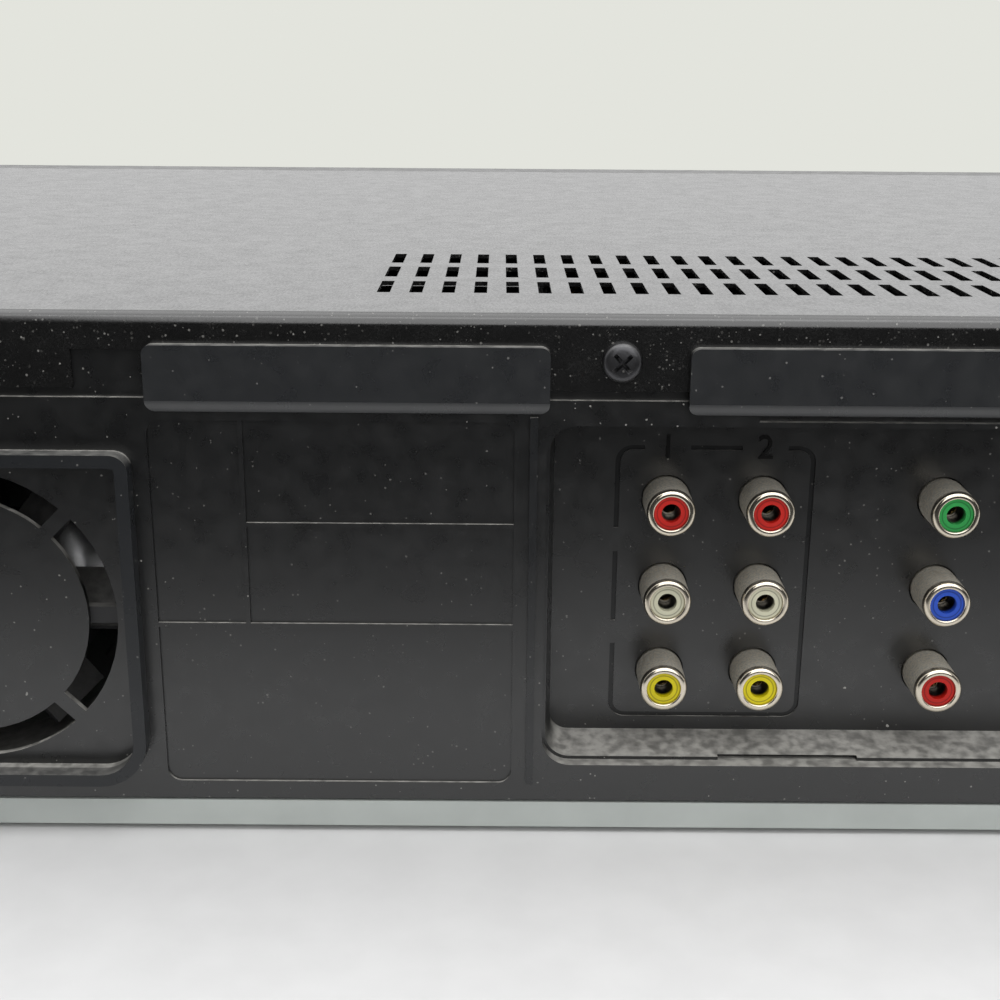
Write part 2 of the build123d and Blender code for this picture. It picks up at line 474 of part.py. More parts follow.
with BuildPart() as cord_gland:
    bar(rear(REAR), [(-GLAND_X, GLAND_Z)], GLAND_R + 1.6, 1.6)
    bar(rear(REAR), [(-GLAND_X, GLAND_Z)], GLAND_R, -PANEL_T - 0.6)
    bar(rear(REAR - PANEL_T - 0.6), [(-GLAND_X, GLAND_Z)], GLAND_R + 1.0, -1.6)
    bar(rear(REAR + 2.0), [(-GLAND_X, GLAND_Z)], GLAND_BORE, -12.0, Mode.SUBTRACT)
save(cord_gland, "cord_gland")

# ---------------------------------------------------------------- fan
FAN_FRONT = REAR - PANEL_T
HUB_R, BLADE_TIP_R, FAN_BLADES = 13.0, 26.6, 7

with BuildPart() as fan_frame:
    soft_block(rear(FAN_FRONT), -FAN_X - FAN_SIZE / 2, -FAN_X + FAN_SIZE / 2, FAN_Z - FAN_SIZE / 2,
               FAN_Z + FAN_SIZE / 2, 3.0, -FAN_T)
    bar(rear(FAN_FRONT), [(-FAN_X, FAN_Z)], FAN_BORE, -FAN_T, Mode.SUBTRACT)
    with BuildSketch(rear(FAN_FRONT)) as motor_mount:
        with Locations((-FAN_X, FAN_Z)):
            Rectangle(2 * FAN_BORE + 1, 3.0)
            Rectangle(3.0, 2 * FAN_BORE + 1)
            Circle(HUB_R)
    extrude(motor_mount.sketch, amount=-2.0)
    with BuildSketch(rear(FAN_FRONT)) as fan_holes:
        with Locations((-FAN_X, FAN_Z)):
            with GridLocations(50.0, 50.0, 2, 2):
                Circle(2.15)
    extrude(fan_holes.sketch, amount=-FAN_T, mode=Mode.SUBTRACT)
    bar(rear(FAN_FRONT - 2.0), [(-FAN_X, FAN_Z)], 2.0, -9.0)
save(fan_frame, "fan_frame")

with BuildPart() as fan_rotor:
    bar(rear(FAN_FRONT - 2.4), [(-FAN_X, FAN_Z)], HUB_R, -12.0)
    for n in range(FAN_BLADES):
        turn = 2 * pi * n / FAN_BLADES
        reach = Vector(-cos(turn), 0, sin(turn))
        root = Plane(origin=Vector(FAN_X, FAN_FRONT - 8.4, FAN_Z) + reach * (HUB_R - 1),
                     x_dir=(0, 1, 0), z_dir=reach)
        with BuildSketch(root) as blade:
            Rectangle(12.0, 1.2, rotation=40)
        extrude(blade.sketch, amount=BLADE_TIP_R - HUB_R)
    bar(rear(FAN_FRONT - 2.4), [(-FAN_X, FAN_Z)], 2.0 + RUN, -9.0, Mode.SUBTRACT)
save(fan_rotor, "fan_rotor")

# ---------------------------------------------------------------- boards and what they carry
with BuildPart() as main_board:
    block(level(BOARD_Z), -206.0, -46.0, -125.0, 133.0, BOARD_T)
    block(level(BOARD_Z), -47.0, 6.0, 104.0, 133.0, BOARD_T)
    bar(level(BOARD_Z), loader_posts, 4.6, BOARD_T, Mode.SUBTRACT)
    # the chips soldered to it
    top_of_board = level(BOARD_Z + BOARD_T)
    block(top_of_board, -150.0, -122.0, 62.0, 90.0, 2.4)
    block(top_of_board, -112.0, -92.0, 62.0, 82.0, 2.0)
    block(top_of_board, -182.0, -168.0, 60.0, 82.0, 1.8)
    block(top_of_board, -160.0, -130.0, 8.0, 26.0, 2.8)
    block(top_of_board, -100.0, -82.0, -60.0, -42.0, 2.2)
save(main_board, "main_board")

with BuildPart() as power_board:
    block(level(BOARD_Z), -42.0, 1.0, -100.0, 98.0, BOARD_T)
save(power_board, "power_board")

with BuildPart() as transformer:
    block(top_of_board, -36.0, -4.0, 46.0, 74.0, 5.0)
    block(level(BOARD_Z + BOARD_T + 5.0), -34.0, -6.0, 49.0, 71.0, 18.0)
    block(level(BOARD_Z + BOARD_T + 7.0), -38.0, -2.0, 54.0, 66.0, 14.0)
save(transformer, "transformer")

with BuildPart() as capacitors:
    bar(top_of_board, [(-20, -66)], 11.0, 34.0)
    bar(top_of_board, [(-30, 24), (-12, 26)], 6.0, 22.0)
    bar(top_of_board, [(-30, 4), (-14, 6), (-28, -44)], 4.0, 14.0)
save(capacitors, "capacitors")

with BuildPart() as heat_sink:
    block(top_of_board, -38.0, -2.0, -26.0, -23.0, 32.0)
    with BuildSketch(top_of_board) as fins:
        with Locations((-20.0, -18.0)):
            with GridLocations(5.0, 1.0, 8, 1):
                Rectangle(1.4, 11.0)
    extrude(fins.sketch, amount=32.0)
save(heat_sink, "heat_sink")

# ---------------------------------------------------------------- fascia
with BuildPart() as front_fascia:
    block(front(SEAM), -HALF_W, HALF_W, PAN_Z, TOP, SEAM - FACE)
    fillet(front_fascia.faces().sort_by(Axis.Y)[0].edges(), FASCIA_R)
    block(front(SEAM), -HALF_W + FASCIA_SIDE, HALF_W - FASCIA_SIDE, PAN_Z + FASCIA_SIDE,
          TOP - FASCIA_SIDE, SEAM - FACE - FASCIA_T, Mode.SUBTRACT)
    block(front(FACE), TRAY_MID - DOOR_W / 2, TRAY_MID + DOOR_W / 2, DOOR_LOW, DOOR_HIGH, -FASCIA_T,
          Mode.SUBTRACT)
    block(front(FACE), BAY_MID - BAY_W / 2, BAY_MID + BAY_W / 2, BAY_LOW, BAY_HIGH, -FASCIA_T,
          Mode.SUBTRACT)
    block(front(FACE), WINDOW_L, WINDOW_R, WINDOW_LOW, WINDOW_HIGH, -WINDOW_T, Mode.SUBTRACT)
    block(front(FACE), WINDOW_L + WINDOW_LIP, WINDOW_R - WINDOW_LIP, WINDOW_LOW + WINDOW_LIP,
          WINDOW_HIGH - WINDOW_LIP, -FASCIA_T, Mode.SUBTRACT)
    for x, z, w, h in KEYS.values():
        block(front(FACE), x - w / 2 - KEY_GAP, x + w / 2 + KEY_GAP, z - h / 2 - KEY_GAP,
              z + h / 2 + KEY_GAP, -FASCIA_T, Mode.SUBTRACT)
    block(front(FACE), ROCKER_X - ROCKER_W / 2 - KEY_GAP, ROCKER_X + ROCKER_W / 2 + KEY_GAP,
          ROCKER_Z - ROCKER_H / 2 - KEY_GAP, ROCKER_Z + ROCKER_H / 2 + KEY_GAP, -FASCIA_T, Mode.SUBTRACT)
    bar(front(FACE), front_shell_points, RCA_R + RCA_HOLE_CLEAR, -FASCIA_T, Mode.SUBTRACT)
    bar(front(FACE + FASCIA_T), BOARD_BOSSES, 3.0, FACE + FASCIA_T - SWITCH_BOARD_Y)
    # ears that hold the flap's pins and the rocker's pin
    for side in (-1, 1):
        ear_x = BAY_MID + side * (BAY_W / 2 + 1.5)
        block(front(FACE + FASCIA_T), ear_x - 1.5, ear_x + 1.5, FLAP_PIN_Z - 4.0, TOP - FASCIA_SIDE, -5.0)
        rocker_ear = ROCKER_X + side * (ROCKER_W / 2 + 2.4)
        block(front(FACE + FASCIA_T), rocker_ear - 1.0, rocker_ear + 1.0, ROCKER_Z - 3.0, ROCKER_Z + 3.0,
              -4.5)
    bar(Plane.YZ.offset(BAY_MID - BAY_W / 2 - 4), [(FLAP_PIN_Y, FLAP_PIN_Z)], FLAP_PIN_R + RUN,
        BAY_W + 8, Mode.SUBTRACT)
    bar(Plane.YZ.offset(ROCKER_X - 10), [(ROCKER_PIN_Y, ROCKER_Z)], ROCKER_PIN_R + RUN, 20.0,
        Mode.SUBTRACT)
save(front_fascia, "front_fascia")

with BuildPart() as display_window:
    soft_block(front(FACE), WINDOW_L + 0.1, WINDOW_R - 0.1, WINDOW_LOW + 0.1, WINDOW_HIGH - 0.1, 0.5,
               -WINDOW_T)
save(display_window, "display_window")

with BuildPart() as display_tube:
    block(front(SWITCH_BOARD_Y), WINDOW_L + 5, WINDOW_R - 5, WINDOW_LOW + 3, WINDOW_HIGH - 3, 6.0)
save(display_tube, "display_tube")

with BuildPart() as switch_board:
    block(front(SWITCH_BOARD_Y), -206.0, 162.0, 10.0, 47.5, -BOARD_T)
    block(front(SWITCH_BOARD_Y), -47.0, -1.0, 47.4, 76.0, -BOARD_T)
    for x, z, w, h in KEYS.values():
        block(front(SWITCH_BOARD_Y), x - 3.0, x + 3.0, z - 3.0, z + 3.0, SWITCH_BOARD_Y - TACT_TOP)
    for half in (-1, 1):
        z = ROCKER_Z + half * 9.0
        block(front(SWITCH_BOARD_Y), ROCKER_X - 3.0, ROCKER_X + 3.0, z - 2.5, z + 2.5, 1.4)
save(switch_board, "switch_board")

# ---------------------------------------------------------------- keys
for key_name, (x, z, w, h) in KEYS.items():
    with BuildPart() as key:
        soft_block(front(FACE + FASCIA_T + 1.6), x - w / 2, x + w / 2, z - h / 2, z + h / 2, 1.0,
                   FASCIA_T + 1.6 + PROUD)
        fillet(key.faces().sort_by(Axis.Y)[0].edges(), 0.4)
        block(front(FACE + FASCIA_T + 1.6), x - w / 2 - 1.0, x + w / 2 + 1.0, z - h / 2 - 1.0,
              z + h / 2 + 1.0, 1.2)
        bar(front(FACE + FASCIA_T + 1.6), [(x, z)], 1.6, -(STEM_END - FACE - FASCIA_T - 1.6))
    save(key, key_name)

with BuildPart() as channel_rocker:
    soft_block(front(ROCKER_PIN_Y), ROCKER_X - ROCKER_W / 2, ROCKER_X + ROCKER_W / 2,
               ROCKER_Z - ROCKER_H / 2, ROCKER_Z + ROCKER_H / 2, 1.0, ROCKER_PIN_Y - FACE + PROUD)
    fillet(channel_rocker.faces().sort_by(Axis.Y)[0].edges(), 0.4)
    bar(Plane.YZ.offset(ROCKER_X - ROCKER_W / 2 - 3.4), [(ROCKER_PIN_Y, ROCKER_Z)], ROCKER_PIN_R,
        ROCKER_W + 6.8)
save(channel_rocker, "channel_rocker")

with BuildPart() as cassette_flap:
    block(front(FACE + 0.3 + FLAP_T), BAY_MID - BAY_W / 2 + DOOR_GAP, BAY_MID + BAY_W / 2 - DOOR_GAP,
          BAY_LOW + DOOR_GAP, BAY_HIGH - DOOR_GAP, FLAP_T)
    for side in (-1, 1):
        cheek = BAY_MID + side * (BAY_W / 2 - DOOR_GAP - 1.0)
        block(front(FACE + 0.3 + FLAP_T), cheek - 1.0, cheek + 1.0, FLAP_PIN_Z - 1.8, FLAP_PIN_Z + 0.8, -2.0)
        pin_start = BAY_MID + side * (BAY_W / 2 - DOOR_GAP)
        bar(Plane(origin=(pin_start, 0, 0), x_dir=(0, side, 0), z_dir=(side, 0, 0)),
            [(side * FLAP_PIN_Y, FLAP_PIN_Z)], FLAP_PIN_R, DOOR_GAP + 2.6)
save(cassette_flap, "cassette_flap")

# ---------------------------------------------------------------- disc loader
tray_half = TRAY_W / 2
rail_in = tray_half + 0.5
loader_in = TRAY_MID - LOADER_L - LOADER_T
pitch_r = MODULE * PINION_TEETH / 2
pinion_x = RACK_X + pitch_r
tooth_pitch = pi * MODULE

with BuildPart() as loader_frame:
    block(level(LOADER_LOW), LOADER_L, LOADER_R, LOADER_Y0, LOADER_Y1, LOADER_TOP - LOADER_LOW)
    block(level(LOADER_LOW + LOADER_T), LOADER_L + LOADER_T, LOADER_R - LOADER_T, LOADER_Y0 - 1,
          LOADER_Y1 - LOADER_T, LOADER_TOP, Mode.SUBTRACT)
    block(level(LOADER_LOW), TRAVERSE_L - 4, TRAVERSE_R + 4, TRAVERSE_Y0 - 4, TRAVERSE_Y1 + 8, LOADER_T,
          Mode.SUBTRACT)
    for side in (-1, 1):
        x0, x1 = sorted((TRAY_MID + side * rail_in, TRAY_MID + side * (loader_in + 0.5)))
        block(level(LIP_LOW - 4.3), x0, x1, LOADER_Y0, LOADER_Y1 - LOADER_T, 4.0)
        block(level(LIP_HIGH + 0.3), x0, x1, LOADER_Y0, LOADER_Y1 - LOADER_T, 2.0)
        ear = (TRAVERSE_L + TRAVERSE_R) / 2 + side * ((TRAVERSE_R - TRAVERSE_L) / 2 - 4.0)
        block(level(LOADER_LOW), ear - 2.0, ear + 2.0, TILT_Y - 5, TILT_Y + 5, TILT_Z + 4 - LOADER_LOW)
        block(level(LOADER_LOW), ear - 2.0, ear + 2.0, TILT_Y, TILT_Y + 12, LOADER_T)
    bar(Plane.YZ.offset(TRAVERSE_L - 1), [(TILT_Y, TILT_Z)], TILT_R + RUN, TRAVERSE_R - TRAVERSE_L + 2,
        Mode.SUBTRACT)
    bar(level(LOADER_LOW), [(pinion_x, PINION_Y)], 2.0, LIP_LOW - 6 - LOADER_LOW)
save(loader_frame, "loader_frame")

with BuildPart() as disc_tray:
    block(level(TRAY_LOW), TRAY_MID - tray_half, TRAY_MID + tray_half, FACE - 0.5 + DOOR_T + 1, TRAY_END,
          TRAY_HIGH - TRAY_LOW)
    block(level(LIP_LOW), TRAY_MID - tray_half - TRAY_LIP, TRAY_MID + tray_half + TRAY_LIP, SEAM - 10,
          TRAY_END, LIP_HIGH - LIP_LOW)
    bar(level(WELL_Z), [(DISC_X, DISC_Y)], WELL_R, TRAY_HIGH - WELL_Z, Mode.SUBTRACT)
    bar(level(SMALL_WELL_Z), [(DISC_X, DISC_Y)], SMALL_WELL_R, TRAY_HIGH - SMALL_WELL_Z, Mode.SUBTRACT)
    bar(level(TRAY_LOW), [(DISC_X, DISC_Y)], SPINDLE_SLOT, TRAY_HIGH - TRAY_LOW, Mode.SUBTRACT)
    block(level(TRAY_LOW), DISC_X - SPINDLE_SLOT, DISC_X + SPINDLE_SLOT, DISC_Y, TRAY_END,
          TRAY_HIGH - TRAY_LOW, Mode.SUBTRACT)
    # finger scoops at the front corners of the well
    for side in (-1, 1):
        bar(level(WELL_Z), [(DISC_X + side * 52.0, DISC_Y - 44.0)], 9.0, TRAY_HIGH - WELL_Z, Mode.SUBTRACT)
    # rack under the tray
    rack_y = PINION_Y + (RACK_TEETH / 2 - 3) * tooth_pitch
    rack_low = LIP_LOW - 6
    root = RACK_X - 1.25 * MODULE
    flank = tan(radians(20))
    half_tooth = tooth_pitch / 4 - BACKLASH / 2
    block(level(rack_low), root - 3.0, root, rack_y - RACK_TEETH * tooth_pitch / 2,
          rack_y + RACK_TEETH * tooth_pitch / 2, TRAY_LOW - rack_low)
    with BuildSketch(level(rack_low)) as rack:
        with Locations((root, rack_y)):
            with GridLocations(1.0, tooth_pitch, 1, RACK_TEETH):
                Polygon((-0.5, -half_tooth - 1.25 * flank), (0, -half_tooth - 1.25 * flank),
                        (2.25 * MODULE, -half_tooth + flank), (2.25 * MODULE, half_tooth - flank),
                        (0, half_tooth + 1.25 * flank), (-0.5, half_tooth + 1.25 * flank), align=None)
    extrude(rack.sketch, amount=TRAY_LOW - rack_low)
save(disc_tray, "disc_tray")

with BuildPart() as tray_front:
    soft_block(front(FACE - 0.5 + DOOR_T), TRAY_MID - DOOR_W / 2 + DOOR_GAP, TRAY_MID + DOOR_W / 2 - DOOR_GAP,
               DOOR_LOW + DOOR_GAP, DOOR_HIGH - DOOR_GAP, 0.8, DOOR_T)
    fillet(tray_front.faces().sort_by(Axis.Y)[0].edges(), 0.6)
    block(front(FACE - 0.5 + DOOR_T + 1), TRAY_MID - tray_half + 8, TRAY_MID + tray_half - 8, TRAY_LOW,
          TRAY_HIGH, 1.0)
save(tray_front, "tray_front")

base_r = pitch_r * cos(radians(20))
tip_r = pitch_r + 0.85 * MODULE


def tooth_half_angle(r):
    """Half the angle that an involute tooth takes up at radius r."""
    pressure = acos(min(1.0, base_r / r))
    involute = tan(pressure) - pressure
    at_pitch = tan(radians(20)) - radians(20)
    return pi / (2 * PINION_TEETH) - BACKLASH / (4 * pitch_r) + at_pitch - involute


with BuildPart() as tray_pinion:
    pinion_low = LOADER_LOW + LOADER_T + 0.3
    pinion_high = TRAY_LOW - 0.3
    with BuildSketch(level(LIP_LOW - 5.6)) as teeth:
        with Locations((pinion_x, PINION_Y)):
            Circle(pitch_r - 1.2 * MODULE)
            with PolarLocations(0, PINION_TEETH, start_angle=180):
                radii = [base_r + (tip_r - base_r) * n / 4 for n in range(5)]
                upper = [(r * cos(tooth_half_angle(r)), r * sin(tooth_half_angle(r))) for r in radii]
                Polygon((pitch_r - 2.0, upper[0][1]), *upper, *[(x, -y) for x, y in reversed(upper)],
                        (pitch_r - 2.0, -upper[0][1]), align=None)
    extrude(teeth.sketch, amount=pinion_high - LIP_LOW + 5.6)
    bar(level(pinion_low), [(pinion_x, PINION_Y)], 5.0, pinion_high - pinion_low)
    bar(level(pinion_low), [(pinion_x, PINION_Y)], 2.0 + RUN, LIP_LOW - 5.7 - pinion_low, Mode.SUBTRACT)
save(tray_pinion, "tray_pinion")

with BuildPart() as clamp_bridge:
    block(level(LOADER_TOP), LOADER_L, LOADER_R, BRIDGE_Y0, BRIDGE_Y1, 1.0)
    bar(level(LOADER_TOP), [(DISC_X, DISC_Y)], 17.0, 1.0)
    bar(level(LOADER_TOP), [(DISC_X, DISC_Y)], 10.0, 1.0, Mode.SUBTRACT)
save(clamp_bridge, "clamp_bridge")

with BuildPart() as clamp_puck:
    bar(level(LOADER_TOP + 1.3), [(DISC_X, DISC_Y)], 13.0, 1.6)
    bar(level(76.0), [(DISC_X, DISC_Y)], 9.4, LOADER_TOP + 1.3 - 76.0)
    bar(level(74.5), [(DISC_X, DISC_Y)], 14.0, 5.0)
    bar(level(74.0), [(DISC_X, DISC_Y)], 4.0, 4.0, Mode.SUBTRACT)
save(clamp_puck, "clamp_puck")

with BuildPart() as traverse_plate:
    block(level(TRAVERSE_LOW), TRAVERSE_L, TRAVERSE_R, TRAVERSE_Y0, TRAVERSE_Y1, TRAVERSE_T)
    bar(level(TRAVERSE_LOW), [(DISC_X, DISC_Y)], 8.0, TRAVERSE_T, Mode.SUBTRACT)
    mid = (TRAVERSE_L + TRAVERSE_R) / 2
    arm = (TRAVERSE_R - TRAVERSE_L) / 2 - 7.0
    for side in (-1, 1):
        block(level(TRAVERSE_LOW), mid + side * arm - 0.7, mid + side * arm + 0.7, TRAVERSE_Y1 - 6,
              TILT_Y + 3.5, 5.0)
        pin = Plane(origin=(mid + side * (arm - 0.7), 0, 0), x_dir=(0, side, 0), z_dir=(side, 0, 0))
        bar(pin, [(side * TILT_Y, TILT_Z)], TILT_R, 6.3)
    # walls that carry the guide rods and the lead screw
    for y in (ROD_Y0 - 2.0, ROD_Y1 - 2.0):
        block(level(TRAVERSE_LOW + TRAVERSE_T), RODS_X[0] - 4, SCREW_SHAFT_X + 4, y, y + 4.0,
              ROD_Z + 3.0 - TRAVERSE_LOW - TRAVERSE_T)
    block(level(TRAVERSE_LOW + TRAVERSE_T), DISC_X - 15.0, DISC_X + 15.0, ROD_Y0 - 3.0, ROD_Y0 + 3.0, 12.0,
          Mode.SUBTRACT)
    bar(front(ROD_Y0 - 3), [(x, ROD_Z) for x in RODS_X], ROD_R, ROD_Y0 - ROD_Y1 - 6, Mode.SUBTRACT)
    bar(front(ROD_Y0 - 3), [(SCREW_SHAFT_X, ROD_Z)], SCREW_SHAFT_R + RUN, ROD_Y0 - ROD_Y1 - 6,
        Mode.SUBTRACT)
save(traverse_plate, "traverse_plate")

with BuildPart() as guide_rods:
    bar(front(ROD_Y0 - 2), [(x, ROD_Z) for x in RODS_X], ROD_R, ROD_Y0 - ROD_Y1 - 4)
save(guide_rods, "guide_rods")

with BuildPart() as lead_screw:
    bar(front(ROD_Y0 - 2), [(SCREW_SHAFT_X, ROD_Z)], SCREW_SHAFT_R, ROD_Y0 - ROD_Y1 - 8)
    bar(front(ROD_Y1 + 2.3), [(SCREW_SHAFT_X, ROD_Z)], 4.0, -1.6)
save(lead_screw, "lead_screw")

with BuildPart() as spindle_motor:
    bar(level(TRAVERSE_LOW + TRAVERSE_T), [(DISC_X, DISC_Y)], 13.0, 8.0)
    bar(level(TRAVERSE_LOW - 3.0), [(DISC_X, DISC_Y)], 7.9, 5.0)
save(spindle_motor, "spindle_motor")

with BuildPart() as turntable:
    bar(level(TRAVERSE_LOW + TRAVERSE_T + 8.3), [(DISC_X, DISC_Y)], 14.5, WELL_Z + 0.6 - TRAVERSE_LOW - 10.3)
    bar(level(WELL_Z), [(DISC_X, DISC_Y)], 7.3, 3.0)
    chamfer(turntable.edges().filter_by(GeomType.CIRCLE).sort_by(Axis.Z)[-1], 1.4)
save(turntable, "turntable")

with BuildPart() as pickup_sled:
    block(level(ROD_Z - 4.0), SLED_L, SLED_R, SLED_Y0, SLED_Y1, 7.6)
    block(level(ROD_Z), RODS_X[1] + 3.5, SLED_R, SLED_Y0 + 8, SLED_Y1, 4.0, Mode.SUBTRACT)
    block(level(ROD_Z + 3.6), DISC_X - 10, DISC_X + 10, SLED_Y0 + 3, SLED_Y0 + 21, 1.6)
    bar(level(ROD_Z + 5.2), [(DISC_X, SLED_Y0 + 12)], 4.2, 1.2)
    bar(front(SLED_Y0), [(x, ROD_Z) for x in RODS_X], ROD_R + RUN, SLED_Y0 - SLED_Y1, Mode.SUBTRACT)
    bar(front(SLED_Y0), [(SCREW_SHAFT_X, ROD_Z)], SCREW_SHAFT_R + 2 * RUN, SLED_Y0 - SLED_Y1,
        Mode.SUBTRACT)
save(pickup_sled, "pickup_sled")

# ---------------------------------------------------------------- tape deck
deck_top = DECK_Z + DECK_T
guide_out = GUIDE_IN + GUIDE_T
carrier_mid_z = (CARRIER_LOW + CARRIER_TOP) / 2

with BuildPart() as deck_chassis:
    block(level(DECK_Z), BAY_MID - guide_out, BAY_MID + guide_out, DECK_Y0, DECK_Y1, DECK_T)
    for side in (-1, 1):
        x0, x1 = sorted((BAY_MID + side * GUIDE_IN, BAY_MID + side * guide_out))
        block(level(DECK_Z), x0, x1, DECK_Y0, 44.0, GUIDE_TOP - DECK_Z)
    # L-shaped guide slots of the cassette carrier
    for y in (-88.0, -36.0):
        block(Plane.YZ.offset(BAY_MID - guide_out - 1), y - 2.5, y + 50.5, 74.0, 79.0, 2 * guide_out + 2,
              Mode.SUBTRACT)
        block(Plane.YZ.offset(BAY_MID - guide_out - 1), y + 45.5, y + 50.5, 47.0, 76.0, 2 * guide_out + 2,
              Mode.SUBTRACT)
    bar(level(DECK_Z), [(CAPSTAN_X, CAPSTAN_Y)], 3.2, DECK_T, Mode.SUBTRACT)
    bar(level(DECK_Z), [(x, REEL_Y) for x in REELS_X], 2.0, 22.0)
    bar(level(DECK_Z), [(ROLLER_X, CAPSTAN_Y)], 1.5, 34.0)
    block(level(DECK_Z), 60.0, 140.0, -96.0, -60.0, DECK_T, Mode.SUBTRACT)
save(deck_chassis, "deck_chassis")

with BuildPart() as carrier_slider:
    for side in (-1, 1):
        x0, x1 = sorted((BAY_MID + side * SLIDER_IN, BAY_MID + side * (SLIDER_IN + SLIDER_T)))
        block(level(30.0), x0, x1, -96.0, -24.0, 50.0)
        for y in (-88.0, -36.0):
            block(Plane.YZ.offset(x0), y - 2.2, y + 2.2, 46.0, 79.0, SLIDER_T, Mode.SUBTRACT)
save(carrier_slider, "carrier_slider")

with BuildPart() as cassette_carrier:
    block(front(CARRIER_Y1), BAY_MID - CARRIER_IN - CARRIER_T, BAY_MID + CARRIER_IN + CARRIER_T,
          CARRIER_LOW, CARRIER_TOP, CARRIER_Y1 - CARRIER_Y0)
    block(front(CARRIER_Y1), BAY_MID - CARRIER_IN, BAY_MID + CARRIER_IN, CARRIER_LOW + CARRIER_T,
          CARRIER_TOP - CARRIER_T, CARRIER_Y1 - CARRIER_Y0, Mode.SUBTRACT)
    block(level(CARRIER_LOW), BAY_MID - CARRIER_IN + 18, BAY_MID + CARRIER_IN - 18, CARRIER_Y0, CARRIER_Y1,
          CARRIER_T, Mode.SUBTRACT)
    block(level(CARRIER_TOP), BAY_MID - 62, BAY_MID + 62, CARRIER_Y0 + 24, CARRIER_Y1 - 18, -CARRIER_T,
          Mode.SUBTRACT)
save(cassette_carrier, "cassette_carrier")

tilt = radians(DRUM_TILT)
drum_axis = Vector(sin(tilt), 0, cos(tilt))
drum_foot = Vector(DRUM_X, DRUM_Y, deck_top + 6.0)
with BuildPart() as drum_base:
    bar(Plane(origin=drum_foot, x_dir=(0, 1, 0), z_dir=drum_axis), [(0, 0)], DRUM_R, 16.0)
    bar(level(deck_top), [(DRUM_X, DRUM_Y)], 17.0, 9.0)
    bar(Plane(origin=drum_foot, x_dir=(0, 1, 0), z_dir=drum_axis), [(0, 0)], 3.0, 26.0)
save(drum_base, "drum_base")

with BuildPart() as head_drum:
    lower_face = Plane(origin=drum_foot + drum_axis * 16.35, x_dir=(0, 1, 0), z_dir=drum_axis)
    tube(lower_face, [(0, 0)], DRUM_R, 3.0 + RUN, 14.0)
    tube(Plane(origin=drum_foot + drum_axis * 24.5, x_dir=(0, 1, 0), z_dir=drum_axis), [(0, 0)], 25.0, 8.0,
         8.0, Mode.SUBTRACT)
save(head_drum, "head_drum")

with BuildPart() as head_stack:
    block(level(deck_top), 136.0, 147.0, 52.0, 66.0, 2.0)
    block(level(deck_top + 2.0), 138.0, 145.0, 53.0, 61.0, 27.0)
    block(level(deck_top), 52.0, 62.0, 50.0, 64.0, 2.0)
    block(level(deck_top + 2.0), 54.0, 60.0, 51.0, 59.0, 27.0)
save(head_stack, "head_stack")

with BuildPart() as capstan:
    bar(level(9.0), [(CAPSTAN_X, CAPSTAN_Y)], 22.0, 8.0)
    bar(level(17.0), [(CAPSTAN_X, CAPSTAN_Y)], CAPSTAN_R, 44.0)
save(capstan, "capstan")

with BuildPart() as pinch_roller:
    bar(level(deck_top + 8.0), [(ROLLER_X, CAPSTAN_Y)], ROLLER_R, 18.0)
    bar(level(deck_top + 6.0), [(ROLLER_X, CAPSTAN_Y)], 3.0, 22.0)
    bar(level(deck_top + 6.0), [(ROLLER_X, CAPSTAN_Y)], 1.5 + RUN, 22.0, Mode.SUBTRACT)
save(pinch_roller, "pinch_roller")

for reel_name, reel_x in zip(("supply_reel", "takeup_reel"), REELS_X):
    with BuildPart() as reel:
        bar(level(deck_top + 0.4), [(reel_x, REEL_Y)], 20.0, 3.0)
        bar(level(deck_top + 0.4), [(reel_x, REEL_Y)], 9.0, 8.0)
        with BuildSketch(level(deck_top + 8.0)) as splines:
            with Locations((reel_x, REEL_Y)):
                Circle(5.0)
                Rectangle(15.0, 2.4)
                Rectangle(15.0, 2.4, rotation=60)
                Rectangle(15.0, 2.4, rotation=120)
        extrude(splines.sketch, amount=11.0)
        bar(level(deck_top), [(reel_x, REEL_Y)], 2.0 + RUN, 21.0, Mode.SUBTRACT)
    save(reel, reel_name)
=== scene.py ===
"""Looks of the disc and tape player: finishes, fine details, light and camera."""

import logging
import math
from dataclasses import dataclass, field, replace
from enum import Enum
from typing import Sequence, Union

import bmesh
import bpy
from mathutils import Matrix, Vector


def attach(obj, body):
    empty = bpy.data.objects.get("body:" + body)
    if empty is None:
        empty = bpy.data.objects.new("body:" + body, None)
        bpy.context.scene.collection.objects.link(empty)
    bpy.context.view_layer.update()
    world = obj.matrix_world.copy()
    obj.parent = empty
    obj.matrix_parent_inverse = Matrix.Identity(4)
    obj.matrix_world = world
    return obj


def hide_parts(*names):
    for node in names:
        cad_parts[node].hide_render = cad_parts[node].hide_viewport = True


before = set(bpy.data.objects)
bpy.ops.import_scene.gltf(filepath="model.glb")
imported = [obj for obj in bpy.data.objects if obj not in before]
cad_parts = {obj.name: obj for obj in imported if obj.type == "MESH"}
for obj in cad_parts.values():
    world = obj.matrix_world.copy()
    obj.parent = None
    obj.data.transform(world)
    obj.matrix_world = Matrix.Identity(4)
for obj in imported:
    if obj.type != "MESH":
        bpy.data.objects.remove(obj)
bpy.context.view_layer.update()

log = logging.getLogger("player")

MM = 0.001
REAR = 148.5 * MM
FLOOR_Y = 137.1 * MM
TIP_Y = 146.1 * MM
FACE = -151.0 * MM
SYMBOL_CORNERS = 12
SHARP_ANGLE = 35.0
Rgb = tuple[float, float, float]
Point = tuple[float, float, float]
Socket = bpy.types.NodeSocket
Value = Union[Socket, float]
Color = Union[Socket, Rgb]

